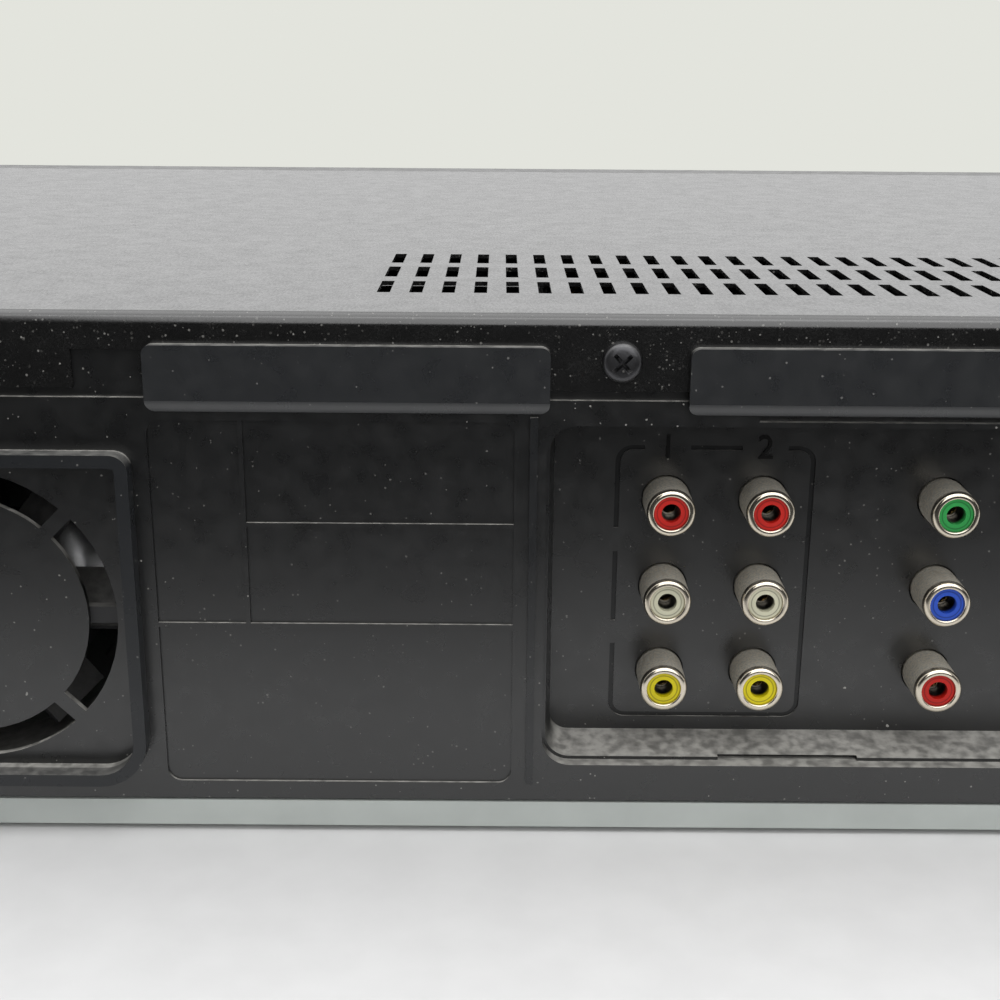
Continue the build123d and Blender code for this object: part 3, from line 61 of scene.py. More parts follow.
# sizes of the textures that every finish shares
WANDER_CELL = 11.0 * MM
SHEEN_CELL = 4.0 * MM
SHEEN_CHANGE = 0.15
DUST_CELL = 2.0 * MM
DUST_ROUGHNESS = 0.9
BUMP_HEIGHT = 0.1 * MM
COAT_ROUGHNESS = 0.12
RUFFLE_SHARE = 0.22
RUFFLES_IN_CELL = 5.0
BRUSH_STRETCH = (0.03, 1.0, 1.0)


class Grain(Enum):
    """How a surface is broken up at close range."""

    MOULDED = "moulded"
    POWDER = "powder"
    BRUSHED = "brushed"
    POLISHED = "polished"
    LAMINATE = "laminate"


@dataclass(frozen=True)
class Specks:
    """One layer of dust grains.

    Attributes:
        cell: size of a cell that may hold a grain.
        share: share of the cells that hold one.
        radius: largest radius of a grain, in cells.
        faint: strength of the faintest grain.
        strong: strength of the strongest grain.
    """

    cell: float
    share: float
    radius: float
    faint: float
    strong: float


@dataclass(frozen=True)
class Finish:
    """One finish of the player, made as a node material.

    Attributes:
        name: name of the material.
        color: base colour in linear light.
        roughness: mean roughness.
        metallic: 1.0 for bare metal.
        specular: specular level on the shader.
        grain: kind of fine texture.
        grain_size: size of the fine texture in metres.
        bump: strength of the fine texture.
        tint: how far the colour wanders over the surface.
        dust: how much dust lies on faces that look up.
        specks: share of cells that hold a pale dust speck.
        powder: share of much finer cells that hold a faint speck.
        coat: clear coat weight.
        ior: index of refraction of the surface.
        dust_color: colour of the dust on it.
    """

    name: str
    color: Rgb
    roughness: float = 0.5
    metallic: float = 0.0
    specular: float = 0.5
    grain: Grain = Grain.MOULDED
    grain_size: float = 0.35 * MM
    bump: float = 0.12
    tint: float = 0.12
    dust: float = 0.0
    specks: float = 0.0
    powder: float = 0.0
    coat: float = 0.0
    ior: float = 1.5
    dust_color: Rgb = (0.42, 0.41, 0.38)

    def build(self) -> "MaterialGraph":
        """Build the material's nodes.

        Returns:
            The graph, so that a caller can add a detail of its own.
        """
        graph = MaterialGraph(self)
        graph.lay_color()
        graph.lay_dust()
        graph.lay_surface()
        return graph


class MaterialGraph:
    """Node graph of one finish."""

    def __init__(self, finish: Finish) -> None:
        """Start an empty graph with its shader.

        Args:
            finish: the finish that the graph makes.
        """
        self.finish = finish
        self.material = bpy.data.materials.new(finish.name)
        self.material.use_nodes = True
        self.nodes = self.material.node_tree.nodes
        self.links = self.material.node_tree.links
        self.shader = self.nodes["Principled BSDF"]
        self.shader.inputs["Metallic"].default_value = finish.metallic
        self.shader.inputs["Specular IOR Level"].default_value = finish.specular
        self.shader.inputs["Coat Weight"].default_value = finish.coat
        self.shader.inputs["IOR"].default_value = finish.ior
        self.shader.inputs["Coat Roughness"].default_value = COAT_ROUGHNESS
        self.place = self.nodes.new("ShaderNodeTexCoord").outputs["Object"]
        self.color = None
        self.rough = None
        self.shine = None

    def noise(self, size: float, detail: float = 2.0, stretch: Point = (1, 1, 1)) -> Socket:
        """Noise with cells of a size in metres.

        Args:
            size: size of a cell.
            detail: octaves of noise.
            stretch: scale of each axis, for grain that runs one way.

        Returns:
            The noise's factor socket.
        """
        mapping = self.nodes.new("ShaderNodeMapping")
        mapping.inputs["Scale"].default_value = [s / size for s in stretch]
        self.links.new(self.place, mapping.inputs["Vector"])
        noise = self.nodes.new("ShaderNodeTexNoise")
        noise.inputs["Scale"].default_value = 1.0
        noise.inputs["Detail"].default_value = detail
        self.links.new(mapping.outputs["Vector"], noise.inputs["Vector"])
        return noise.outputs["Fac"]

    def ruffled(self, size: float) -> Socket:
        """The place shaken a little, so that grains aren't round.

        Args:
            size: size of a cell that holds a grain.

        Returns:
            The shaken place's socket.
        """
        mapping = self.nodes.new("ShaderNodeMapping")
        mapping.inputs["Scale"].default_value = [RUFFLES_IN_CELL / size] * 3
        self.links.new(self.place, mapping.inputs["Vector"])
        noise = self.nodes.new("ShaderNodeTexNoise")
        noise.inputs["Scale"].default_value = 1.0
        self.links.new(mapping.outputs["Vector"], noise.inputs["Vector"])
        scale = self.nodes.new("ShaderNodeVectorMath")
        scale.operation = "SCALE"
        scale.inputs["Scale"].default_value = RUFFLE_SHARE * size
        self.links.new(noise.outputs["Color"], scale.inputs[0])
        add = self.nodes.new("ShaderNodeVectorMath")
        self.links.new(self.place, add.inputs[0])
        self.links.new(scale.outputs[0], add.inputs[1])
        return add.outputs[0]

    def span(self, source: Socket, low: float, high: float, to_low: float = 0.0,
             to_high: float = 1.0) -> Socket:
        """Map a value from one range to another, clamped.

        Args:
            source: socket to read.
            low: value that gives to_low.
            high: value that gives to_high.
            to_low: result at low.
            to_high: result at high.

        Returns:
            The mapped socket.
        """
        node = self.nodes.new("ShaderNodeMapRange")
        for key, value in (("From Min", low), ("From Max", high), ("To Min", to_low), ("To Max", to_high)):
            node.inputs[key].default_value = value
        self.links.new(source, node.inputs["Value"])
        return node.outputs["Result"]

    def math(self, kind: str, a: Value, b: Value) -> Socket:
        """Combine two values.

        Args:
            kind: Blender's name of the operation.
            a: socket or number.
            b: socket or number.

        Returns:
            The result's socket.
        """
        node = self.nodes.new("ShaderNodeMath")
        node.operation = kind
        for slot, value in zip(node.inputs, (a, b)):
            if isinstance(value, (int, float)):
                slot.default_value = value
            else:
                self.links.new(value, slot)
        return node.outputs[0]

    def blend(self, factor: Value, under: Color, over: Color) -> Socket:
        """Mix two colours.

        Args:
            factor: socket or number, 0 for under.
            under: colour or socket.
            over: colour or socket.

        Returns:
            The mixed colour's socket.
        """
        node = self.nodes.new("ShaderNodeMix")
        node.data_type = "RGBA"
        for slot, value in ((node.inputs[0], factor), (node.inputs[6], under), (node.inputs[7], over)):
            if isinstance(value, (int, float)):
                slot.default_value = value
            elif isinstance(value, (tuple, list)):
                slot.default_value = (*value[:3], 1.0)
            else:
                self.links.new(value, slot)
        return node.outputs[2]

    def axis(self, index: int) -> Socket:
        """One coordinate of the place in the row's frame, in metres."""
        split = self.nodes.new("ShaderNodeSeparateXYZ")
        self.links.new(self.place, split.inputs[0])
        return split.outputs[index]

    def inside(self, corners: Sequence[tuple[float, float]]) -> Socket:
        """Where a convex outline covers the surface, as seen along Y.

        Args:
            corners: X and Z of its corners in metres, running anticlockwise.

        Returns:
            A socket that is 1 inside the outline.
        """
        across, up = self.axis(0), self.axis(2)
        result = None
        for (x0, z0), (x1, z1) in zip(corners, list(corners[1:]) + [corners[0]]):
            slope_x, slope_z = z0 - z1, x1 - x0
            along_x = self.math("MULTIPLY", across, slope_x)
            along_z = self.math("MULTIPLY", up, slope_z)
            side = self.math("GREATER_THAN", self.math("ADD", along_x, along_z), slope_x * x0 + slope_z * z0)
            result = side if result is None else self.math("MINIMUM", result, side)
        return result

    def ring(self, centres: Sequence[tuple[float, float]], inner: float, outer: float) -> Socket:
        """Where a ring round any of some centres in X and Z covers the surface.

        Args:
            centres: the centres in metres.
            inner: inner radius.
            outer: outer radius.

        Returns:
            A socket that is 1 on a ring.
        """
        near = None
        for x, z in centres:
            across = self.math("SUBTRACT", self.axis(0), x)
            up = self.math("SUBTRACT", self.axis(2), z)
            square = self.math("ADD", self.math("MULTIPLY", across, across), self.math("MULTIPLY", up, up))
            near = square if near is None else self.math("MINIMUM", near, square)
        return self.math("MULTIPLY", self.math("GREATER_THAN", near, inner * inner),
                         self.math("LESS_THAN", near, outer * outer))

    def lay_color(self) -> None:
        """Lay the base colour, wandering a little over the surface."""
        finish = self.finish
        darker = tuple(c * (1 - finish.tint) for c in finish.color)
        lighter = tuple(min(1.0, c * (1 + finish.tint)) for c in finish.color)
        wander = self.span(self.noise(WANDER_CELL, 3.0), 0.35, 0.65)
        self.color = self.blend(wander, darker, lighter)

    def lay_dust(self) -> None:
        """Lay settled dust and loose specks over the colour."""
        finish = self.finish
        rough = self.span(self.noise(SHEEN_CELL, 2.0), 0.3, 0.7, finish.roughness * (1 - SHEEN_CHANGE),
                          min(1.0, finish.roughness * (1 + SHEEN_CHANGE)))
        cover = None
        if finish.dust > 0:
            normal = self.nodes.new("ShaderNodeNewGeometry").outputs["Normal"]
            split = self.nodes.new("ShaderNodeSeparateXYZ")
            self.links.new(normal, split.inputs[0])
            facing = self.span(split.outputs[2], 0.25, 0.9)
            patch = self.span(self.noise(DUST_CELL, 6.0), 0.34, 0.62, 0.45, 1.0)
            cover = self.math("MULTIPLY", self.math("MULTIPLY", facing, patch), finish.dust)
        if finish.specks > 0:
            speck = self.speck_mask()
            cover = speck if cover is None else self.math("MAXIMUM", cover, speck)
        if cover is not None:
            self.color = self.blend(cover, self.color, finish.dust_color)
            rough = self.math("MAXIMUM", rough, self.math("MULTIPLY", cover, DUST_ROUGHNESS))
        self.rough = rough

    def speck_mask(self) -> Socket:
        """Scattered grains of dust.

        Returns:
            A socket that is high on a grain.
        """
        cover = None
        finish = self.finish
        layers = (Specks(0.55 * MM, finish.powder, 0.42, 0.04, 0.36),
                  Specks(0.85 * MM, finish.specks, 0.23, 0.08, 0.55),
                  Specks(4.3 * MM, 0.5 * finish.specks, 0.055, 0.3, 0.8))
        for layer in layers:
            mapping = self.nodes.new("ShaderNodeMapping")
            mapping.inputs["Scale"].default_value = [1 / layer.cell] * 3
            self.links.new(self.ruffled(layer.cell), mapping.inputs["Vector"])
            cells = self.nodes.new("ShaderNodeTexVoronoi")
            cells.inputs["Scale"].default_value = 1.0
            self.links.new(mapping.outputs["Vector"], cells.inputs["Vector"])
            chosen = self.nodes.new("ShaderNodeSeparateColor")
            self.links.new(cells.outputs["Color"], chosen.inputs[0])
            picked = self.span(chosen.outputs[0], 1.0 - layer.share, 1.0, 0.0, layer.radius)
            grain = self.math("LESS_THAN", cells.outputs["Distance"], picked)
            strength = self.span(chosen.outputs[1], 0.0, 1.0, layer.faint, layer.strong)
            shade = self.math("MULTIPLY", grain, strength)
            cover = shade if cover is None else self.math("MAXIMUM", cover, shade)
        return cover

    def lay_surface(self) -> None:
        """Join colour, roughness and fine texture to the shader."""
        finish = self.finish
        self.links.new(self.color, self.shader.inputs["Base Color"])
        self.links.new(self.rough, self.shader.inputs["Roughness"])
        stretch = BRUSH_STRETCH if finish.grain is Grain.BRUSHED else (1, 1, 1)
        height = self.noise(finish.grain_size, 3.0 if finish.grain is Grain.POWDER else 2.0, stretch)
        bump = self.nodes.new("ShaderNodeBump")
        bump.inputs["Strength"].default_value = finish.bump
        bump.inputs["Distance"].default_value = BUMP_HEIGHT
        self.links.new(height, bump.inputs["Height"])
        self.links.new(bump.outputs["Normal"], self.shader.inputs["Normal"])

    def roughen(self, factor: Value) -> None:
        """Multiply the roughness by a value."""
        self.rough = self.math("MULTIPLY", self.rough, factor)
        self.links.new(self.rough, self.shader.inputs["Roughness"])

    def dull(self, factor: Value) -> None:
        """Multiply the shine by a value, 0 for none."""
        if self.shine is None:
            self.shine = self.math("MULTIPLY", factor, self.finish.specular)
        else:
            self.shine = self.math("MULTIPLY", self.shine, factor)
        self.links.new(self.shine, self.shader.inputs["Specular IOR Level"])

    def repaint(self, factor: Value, color: Color) -> None:
        """Lay another colour over the finished one.

        Args:
            factor: socket that is 1 where the colour goes.
            color: colour or socket.
        """
        self.color = self.blend(factor, self.color, color)
        self.links.new(self.color, self.shader.inputs["Base Color"])


COVER_PAINT = Finish("cover_paint", (0.0045, 0.0045, 0.0045), 0.22, grain=Grain.POWDER, grain_size=0.26 * MM,
                     bump=0.03, tint=0.10, specks=0.06, powder=0.3, ior=1.9)
PANEL_PLASTIC = Finish("panel_plastic", (0.0048, 0.0051, 0.0054), 0.30, specular=1.0, grain_size=0.24 * MM,
                       bump=0.10, dust=0.9, specks=0.17)
PAN_PAINT = Finish("pan_paint", (0.44, 0.47, 0.45), 0.45, grain=Grain.POWDER, grain_size=0.3 * MM, bump=0.1,
                   tint=0.04)
SCREW_ZINC = Finish("screw_zinc", (0.10, 0.10, 0.105), 0.36, metallic=1.0, grain_size=0.4 * MM, bump=0.25,
                    dust=0.15, specks=0.05)
NICKEL = Finish("nickel", (0.76, 0.69, 0.57), 0.16, metallic=1.0, grain=Grain.POLISHED, grain_size=0.8 * MM,
                bump=0.03, tint=0.06)
RED = Finish("socket_red", (0.44, 0.011, 0.006), 0.38, grain_size=0.5 * MM, bump=0.04, specular=0.3)
WHITE = Finish("socket_white", (0.53, 0.52, 0.39), 0.38, grain_size=0.5 * MM, bump=0.04, specular=0.3)
YELLOW = Finish("socket_yellow", (0.60, 0.51, 0.006), 0.38, grain_size=0.5 * MM, bump=0.04, specular=0.3)
GREEN = Finish("socket_green", (0.03, 0.30, 0.07), 0.3, grain_size=0.5 * MM, bump=0.04, specular=0.3)
BLUE = Finish("socket_blue", (0.02, 0.07, 0.42), 0.3, grain_size=0.5 * MM, bump=0.04, specular=0.3)
NUMERAL = Finish("numeral_plastic", (0.004, 0.004, 0.004), 0.5, specular=0.15, grain_size=0.3 * MM, bump=0.1,
                 specks=0.05)
MOULDING = Finish("black_moulding", (0.018, 0.018, 0.019), 0.5, grain_size=0.4 * MM, bump=0.12, dust=0.3,
                  specks=0.03)
FASCIA = Finish("fascia_plastic", (0.020, 0.0205, 0.022), 0.36, grain_size=0.3 * MM, bump=0.08, dust=0.10,
                specks=0.01)
KEY = Finish("key_plastic", (0.035, 0.036, 0.038), 0.3, grain_size=0.3 * MM, bump=0.05)
TRAY = Finish("tray_plastic", (0.032, 0.032, 0.035), 0.45, grain_size=0.35 * MM, bump=0.1)
RUBBER = Finish("rubber", (0.02, 0.02, 0.02), 0.75, grain_size=0.5 * MM, bump=0.2)
STEEL = Finish("bright_steel", (0.58, 0.58, 0.57), 0.32, metallic=1.0, grain=Grain.BRUSHED,
               grain_size=0.3 * MM, bump=0.08)
TIN = Finish("tin_plate", (0.55, 0.55, 0.53), 0.38, metallic=1.0, grain=Grain.POWDER, grain_size=0.9 * MM,
             bump=0.06, dust=0.2)
CAST = Finish("die_casting", (0.42, 0.42, 0.43), 0.5, metallic=0.9, grain=Grain.POWDER, grain_size=0.5 * MM,
              bump=0.15)
TURNED = Finish("turned_aluminium", (0.76, 0.76, 0.77), 0.22, metallic=1.0, grain=Grain.BRUSHED,
                grain_size=0.15 * MM, bump=0.05)
ACETAL = Finish("acetal", (0.74, 0.73, 0.68), 0.42, grain_size=0.5 * MM, bump=0.06)
MASK_GREEN = Finish("board_mask", (0.02, 0.13, 0.05), 0.32, grain=Grain.LAMINATE, grain_size=0.6 * MM,
                    bump=0.1, dust=0.2)
LAMINATE = Finish("board_laminate", (0.42, 0.27, 0.10), 0.55, grain=Grain.LAMINATE, grain_size=0.6 * MM,
                  bump=0.1, dust=0.2)
FERRITE = Finish("ferrite", (0.05, 0.05, 0.055), 0.55, grain=Grain.POWDER, grain_size=0.4 * MM, bump=0.2)
SLEEVE = Finish("capacitor_sleeve", (0.015, 0.03, 0.10), 0.28, grain_size=0.5 * MM, bump=0.04, coat=0.2)
ALUMINIUM = Finish("mill_aluminium", (0.66, 0.67, 0.68), 0.36, metallic=1.0, grain=Grain.BRUSHED,
                   grain_size=0.3 * MM, bump=0.1)
SMOKED = Finish("smoked_window", (0.002, 0.002, 0.003), 0.06, grain=Grain.POLISHED, grain_size=2 * MM,
                bump=0.01, specular=0.28)
TUBE_GLASS = Finish("tube_glass", (0.05, 0.07, 0.07), 0.12, grain=Grain.POLISHED, grain_size=2 * MM,
                    bump=0.01)
PRINT_WHITE: Rgb = (0.5, 0.5, 0.49)


def dress(node: str, material: bpy.types.Material) -> None:
    """Give a CAD node its material.

    Args:
        node: name of the node.
        material: material for all its faces.
    """
    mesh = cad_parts[node].data
    mesh.materials.clear()
    mesh.materials.append(material)
    log.info("dressed %s with %s", node, material.name)


def piece(name: str, build: bmesh.types.BMesh, body: str, material: bpy.types.Material,
          smooth: bool = True) -> bpy.types.Object:
    """Make a piece of the scene from a mesh and let it ride.

    Args:
        name: name of the piece.
        build: its mesh, in the row's frame.
        body: CAD body that carries it.
        material: its material.
        smooth: shade it smooth where its faces meet gently.

    Returns:
        The new object.
    """
    mesh = bpy.data.meshes.new(name)
    bmesh.ops.recalc_face_normals(build, faces=build.faces)
    build.to_mesh(mesh)
    build.free()
    obj = bpy.data.objects.new(name, mesh)
    bpy.context.scene.collection.objects.link(obj)
    mesh.materials.append(material)
    if smooth:
        mesh.shade_smooth()
        mesh.set_sharp_from_angle(angle=math.radians(SHARP_ANGLE))
    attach(obj, body)
    log.info("built %s on %s", name, body)
    return obj


def skin(build: bmesh.types.BMesh, rings: Sequence[Sequence[bmesh.types.BMVert]]) -> None:
    """Join rings of points, each to the next, with faces.

    Args:
        build: mesh to add to.
        rings: rings that all have as many points.
    """
    for low, high in zip(rings, rings[1:]):
        for k in range(len(low)):
            n = (k + 1) % len(low)
            build.faces.new((low[k], low[n], high[n], high[k]))


def lathe(build: bmesh.types.BMesh, profile: Sequence[tuple[float, float]], frame_at: Matrix,
          steps: int = 40) -> None:
    """Turn a profile round an axis into a mesh.

    Args:
        build: mesh to add to.
        profile: radius and height of each point, in metres.
        frame_at: place and direction of the axis, its Z along the axis.
        steps: facets round the axis.
    """
    rings = []
    for radius, height in profile:
        rings.append([build.verts.new(frame_at @ Vector((radius * math.cos(math.tau * k / steps),
                                                         radius * math.sin(math.tau * k / steps), height)))
                      for k in range(steps)])
    skin(build, rings)


def behind(x: float, y: float, z: float) -> Matrix:
    """Frame at a point with its Z pointing out of the rear, X to the right as seen from behind."""
    return Matrix.Translation((x, y, z)) @ Matrix(((-1, 0, 0, 0), (0, 0, 1, 0), (0, 1, 0, 0), (0, 0, 0, 1)))


def ahead(x: float, y: float, z: float) -> Matrix:
    """Frame at a point with its Z pointing out of the front, X to the right as seen from the front."""
    return Matrix.Translation((x, y, z)) @ Matrix(((1, 0, 0, 0), (0, 0, -1, 0), (0, 1, 0, 0), (0, 0, 0, 1)))


@dataclass(frozen=True)
class Lamp:
    """One soft square lamp.

    Attributes:
        name: its name.
        place: where it hangs.
        aim: what it points at.
        size: its side in metres.
        power: its power in watts.
    """

    name: str
    place: Point
    aim: Point
    size: float
    power: float


@dataclass
class Studio:
    """Floor, light, background and camera.

    Attributes:
        eye: place of the camera.
        pitch: how far the camera looks down, in degrees.
        yaw: how far it turns, in degrees.
        roll: how far it tips over, in degrees.
        lens: focal length in millimetres on a 36 mm sensor.
        wall: colour of the room behind the player.
        table: colour of the table top.
        table_painted_shade: painted shade, a darker colour for the table beyond the player, where the lamps
            are brighter.
        table_end: corner of the table top.
        dark_from: y beyond which the table lies in the viewer's shadow, as shiny faces see it.
        dark_fade: width of that shadow's edge.
        dark_table: colour of the table in it.
        painted_shade_fade: y from which and up to which the table turns to the painted shade
            table_painted_shade.
        turn_to_viewer: range of a ray's Y over which the room darkens towards the viewer.
        viewer_glow: brightness of the room behind the viewer, 1 being the far side.
        rise: range of a ray's Z over which the room brightens.
        rise_glow: brightness at the ends of that range.
        lamps: the lamps.
    """

    eye: Point = (20.0 * MM, 384.1 * MM, 135.4 * MM)
    pitch: float = 17.158
    yaw: float = 0.063
    roll: float = 0.446
    lens: float = 52.92
    wall: Rgb = (0.768, 0.776, 0.724)
    table: Rgb = (0.70, 0.70, 0.70)
    table_painted_shade: Rgb = (0.52, 0.52, 0.52)
    table_end: Point = (1.3, 0.9, 0.0)
    dark_from: float = 0.20
    dark_fade: float = 0.10
    dark_table: Rgb = (0.012, 0.012, 0.012)
    painted_shade_fade: tuple[float, float] = (0.12, -0.2)
    turn_to_viewer: tuple[float, float] = (-0.05, 0.5)
    viewer_glow: float = 0.03
    rise: tuple[float, float] = (0.02, 0.22)
    rise_glow: tuple[float, float] = (0.80, 1.22)
    lamps: tuple[Lamp, ...] = (Lamp("key_lamp", (0.15, 0.05, 1.3), (0, 0.05, 0), 1.6, 8.0),
                               Lamp("fill_lamp", (-0.3, 1.1, 1.0), (0, 0.1, 0.05), 1.8, 18.0))

    def camera(self) -> None:
        """Place the camera where the photograph was taken from."""
        pitch, yaw, roll = (math.radians(a) for a in (self.pitch, self.yaw, self.roll))
        look = Vector((-math.sin(yaw) * math.cos(pitch), -math.cos(yaw) * math.cos(pitch), -math.sin(pitch)))
        right = Vector((-math.cos(yaw), math.sin(yaw), 0))
        up = right.cross(look)
        turned_right = math.cos(roll) * right + math.sin(roll) * up
        turned_up = math.cos(roll) * up - math.sin(roll) * right
        data = bpy.data.cameras.new("camera")
        data.lens = self.lens
        data.sensor_width = 36.0
        data.sensor_fit = "HORIZONTAL"
        data.clip_start = 0.01
        camera = bpy.data.objects.new("camera", data)
        axes = Matrix((turned_right, turned_up, -look)).transposed()
        camera.matrix_world = Matrix.Translation(self.eye) @ axes.to_4x4()
        bpy.context.scene.collection.objects.link(camera)
        bpy.context.scene.camera = camera

    def hang(self, lamp: Lamp) -> None:
        """Hang one soft lamp.

        Args:
            lamp: the lamp to hang.
        """
        data = bpy.data.lights.new(lamp.name, "AREA")
        data.shape = "SQUARE"
        data.size = lamp.size
        data.energy = lamp.power
        hung = bpy.data.objects.new(lamp.name, data)
        hung.location = lamp.place
        hung.rotation_euler = (Vector(lamp.aim) - Vector(lamp.place)).to_track_quat("-Z", "Y").to_euler()
        bpy.context.scene.collection.objects.link(hung)

    def world(self) -> None:
        """Pale wall for the camera, bright behind the player and dim towards the viewer."""
        world = bpy.data.worlds.new("room")
        bpy.context.scene.world = world
        world.use_nodes = True
        nodes, links = world.node_tree.nodes, world.node_tree.links
        background = nodes["Background"]
        place = nodes.new("ShaderNodeTexCoord").outputs["Generated"]
        split = nodes.new("ShaderNodeSeparateXYZ")
        links.new(place, split.inputs[0])
        side, rise = (nodes.new("ShaderNodeMapRange") for _ in range(2))
        for node, source, (low, high), (at_low, at_high) in (
                (side, split.outputs[1], self.turn_to_viewer, (1.0, self.viewer_glow)),
                (rise, split.outputs[2], self.rise, self.rise_glow)):
            limits = {"From Min": low, "From Max": high, "To Min": at_low, "To Max": at_high}
            for key, value in limits.items():
                node.inputs[key].default_value = value
            links.new(source, node.inputs["Value"])
        glow = nodes.new("ShaderNodeMath")
        glow.operation = "MULTIPLY"
        links.new(side.outputs["Result"], glow.inputs[0])
        links.new(rise.outputs["Result"], glow.inputs[1])
        path = nodes.new("ShaderNodeLightPath")
        mix = nodes.new("ShaderNodeMix")
        mix.data_type = "RGBA"
        links.new(path.outputs["Is Camera Ray"], mix.inputs[0])
        links.new(glow.outputs[0], mix.inputs[6])
        mix.inputs[7].default_value = (*self.wall, 1.0)
        links.new(mix.outputs[2], background.inputs["Color"])

    def floor(self) -> None:
        """Lay the pale table."""
        build = bmesh.new()
        far_x, far_y, _ = self.table_end
        corners = [build.verts.new((x, y, 0.0))
                   for x, y in ((-far_x, -far_y), (far_x, -far_y), (far_x, far_y), (-far_x, far_y))]
        build.faces.new(corners)
        mesh = bpy.data.meshes.new("table")
        build.to_mesh(mesh)
        build.free()
        table = bpy.data.objects.new("table", mesh)
        bpy.context.scene.collection.objects.link(table)
        finish = Finish("table_white", self.table, 0.85, specular=0.1, grain_size=0.5 * MM, bump=0.05,
                        tint=0.02)
        graph = finish.build()
        # painted shade: the table is darkened beyond the player to tone down the brighter lamps there
        graph.repaint(graph.span(graph.axis(1), *self.painted_shade_fade), self.table_painted_shade)
        glossy = graph.nodes.new("ShaderNodeLightPath").outputs["Is Glossy Ray"]
        shade = graph.span(graph.axis(1), self.dark_from, self.dark_from + self.dark_fade)
        graph.repaint(graph.math("MULTIPLY", glossy, shade), self.dark_table)
        mesh.materials.append(graph.material)

    def build(self) -> None:
        """Build the whole studio."""
        bpy.context.scene.view_settings.view_transform = "Standard"
        self.camera()
        self.world()
        self.floor()
        for lamp in self.lamps:
            self.hang(lamp)
        log.info("studio is ready")


@dataclass
class Shell:
    """Cover, base pan, feet and the screws that hold the cover.

    Attributes:
        head_r: radius of a screw head.
        head_h: height of a rear screw's head.
        side_head_h: height of a side screw's head.
        head_rim: radius and height of each ring of a head, as shares of the head's.
        head_steps: facets round a head.
        slot_reach: half the length of the cross recess.
        slot_half: half the width of a slot.
        slot_depth: depth of the cross recess.
        slot_taper: width at the recess's floor as a share of the width at its top.
        shank_r: radius of a shank.
        shank_root: how far a shank reaches into its head.
        rear_shank: length of a rear shank.
        side_shank: length of a side shank.
        screw_z: height of the rear screws.
        rear_screws: x of each rear screw.
        side_y: y of the side screws.
        side_z: height of the side screws.
        side_x: x of the cover's side face.
        turns: turn of each screw in degrees.
        mottle: size of the cells over which the cover's sheen changes.
        mottle_stretch: scale of the mottle on each axis.
        mottle_range: least and greatest share of the paint's roughness.
    """

    head_r: float = 3.3 * MM
    head_h: float = 1.9 * MM
    side_head_h: float = 1.5 * MM
    head_rim: tuple[tuple[float, float], ...] = ((1.0, 0.0), (1.0, 0.45), (0.94, 0.72), (0.82, 0.90),
                                                 (0.66, 0.98))
    head_steps: int = 48
    slot_reach: float = 1.95 * MM
    slot_half: float = 0.36 * MM
    slot_depth: float = 1.1 * MM
    slot_taper: float = 0.55
    shank_r: float = 1.4 * MM
    shank_root: float = 0.1 * MM
    rear_shank: float = 6.9 * MM
    side_shank: float = 5.9 * MM
    screw_z: float = 86.4 * MM
    rear_screws: tuple[float, ...] = (-190 * MM, 0.0, 190 * MM)
    side_y: tuple[float, ...] = (-90 * MM, 110 * MM)
    side_z: float = 14.0 * MM
    side_x: float = 217.5 * MM
    turns: tuple[float, ...] = (22.0, 41.0, 65.0, 10.0, 33.0, 57.0, 80.0)
    mottle: float = 0.42 * MM
    mottle_stretch: Point = (1.0, 0.3, 1.0)
    mottle_range: tuple[float, float] = (0.8, 1.25)

    def cross(self) -> list[tuple[float, float]]:
        """Outline of the cross recess.

        Returns:
            Its twelve corners about the screw's axis.
        """
        corners = []
        reach, half = self.slot_reach, self.slot_half
        for quarter in range(4):
            sine, cosine = math.sin(math.radians(90 * quarter)), math.cos(math.radians(90 * quarter))
            for x, y in ((reach, -half), (reach, half), (half, half)):
                corners.append((x * cosine - y * sine, x * sine + y * cosine))
        return corners

    def head(self, build: bmesh.types.BMesh, at: Matrix, height: float) -> None:
        """Add one pan head with a cross recess.

        Args:
            build: mesh to add to.
            at: frame of the head, its Z out of the sheet.
            height: height of the head.
        """
        steps, cross = self.head_steps, self.cross()
        rings = [[build.verts.new(at @ Vector((share * self.head_r * math.cos(math.tau * k / steps),
                                               share * self.head_r * math.sin(math.tau * k / steps),
                                               rise * height)))
                  for k in range(steps)] for share, rise in self.head_rim]
        skin(build, rings)
        top = [build.verts.new(at @ Vector((x, y, height))) for x, y in cross]
        taper, low_at = self.slot_taper, height - self.slot_depth
        floor = [build.verts.new(at @ Vector((x * taper, y * taper, low_at))) for x, y in cross]
        build.faces.new(floor)
        outer, count = rings[-1], len(cross)
        starts = [round(math.atan2(y, x) / math.tau * steps) % steps for x, y in cross]
        for k in range(count):
            n = (k + 1) % count
            build.faces.new((top[k], top[n], floor[n], floor[k]))
            step = starts[k]
            while step != starts[n]:
                build.faces.new((top[k], outer[step], outer[(step + 1) % steps]))
                step = (step + 1) % steps
            build.faces.new((top[k], outer[starts[n]], top[n]))

    def screws(self) -> None:
        """Replace the plain CAD screws with screws that have a cross recess."""
        build = bmesh.new()
        places = [(behind(x, REAR, self.screw_z), self.head_h, self.rear_shank) for x in self.rear_screws]
        for side in (-1, 1):
            out = Matrix(((0, 0, side, 0), (side, 0, 0, 0), (0, 1, 0, 0), (0, 0, 0, 1)))
            for y in self.side_y:
                at = Matrix.Translation((side * self.side_x, y, self.side_z)) @ out
                places.append((at, self.side_head_h, self.side_shank))
        for (at, height, shank), turn in zip(places, self.turns):
            turned = at @ Matrix.Rotation(math.radians(turn), 4, "Z")
            self.head(build, turned, height)
            lathe(build, [(self.shank_r, -shank), (self.shank_r, self.shank_root)], turned, 16)
        heads = piece("cover_screw_heads", build, "case", SCREW_ZINC.build().material)
        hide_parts("cover_screws")

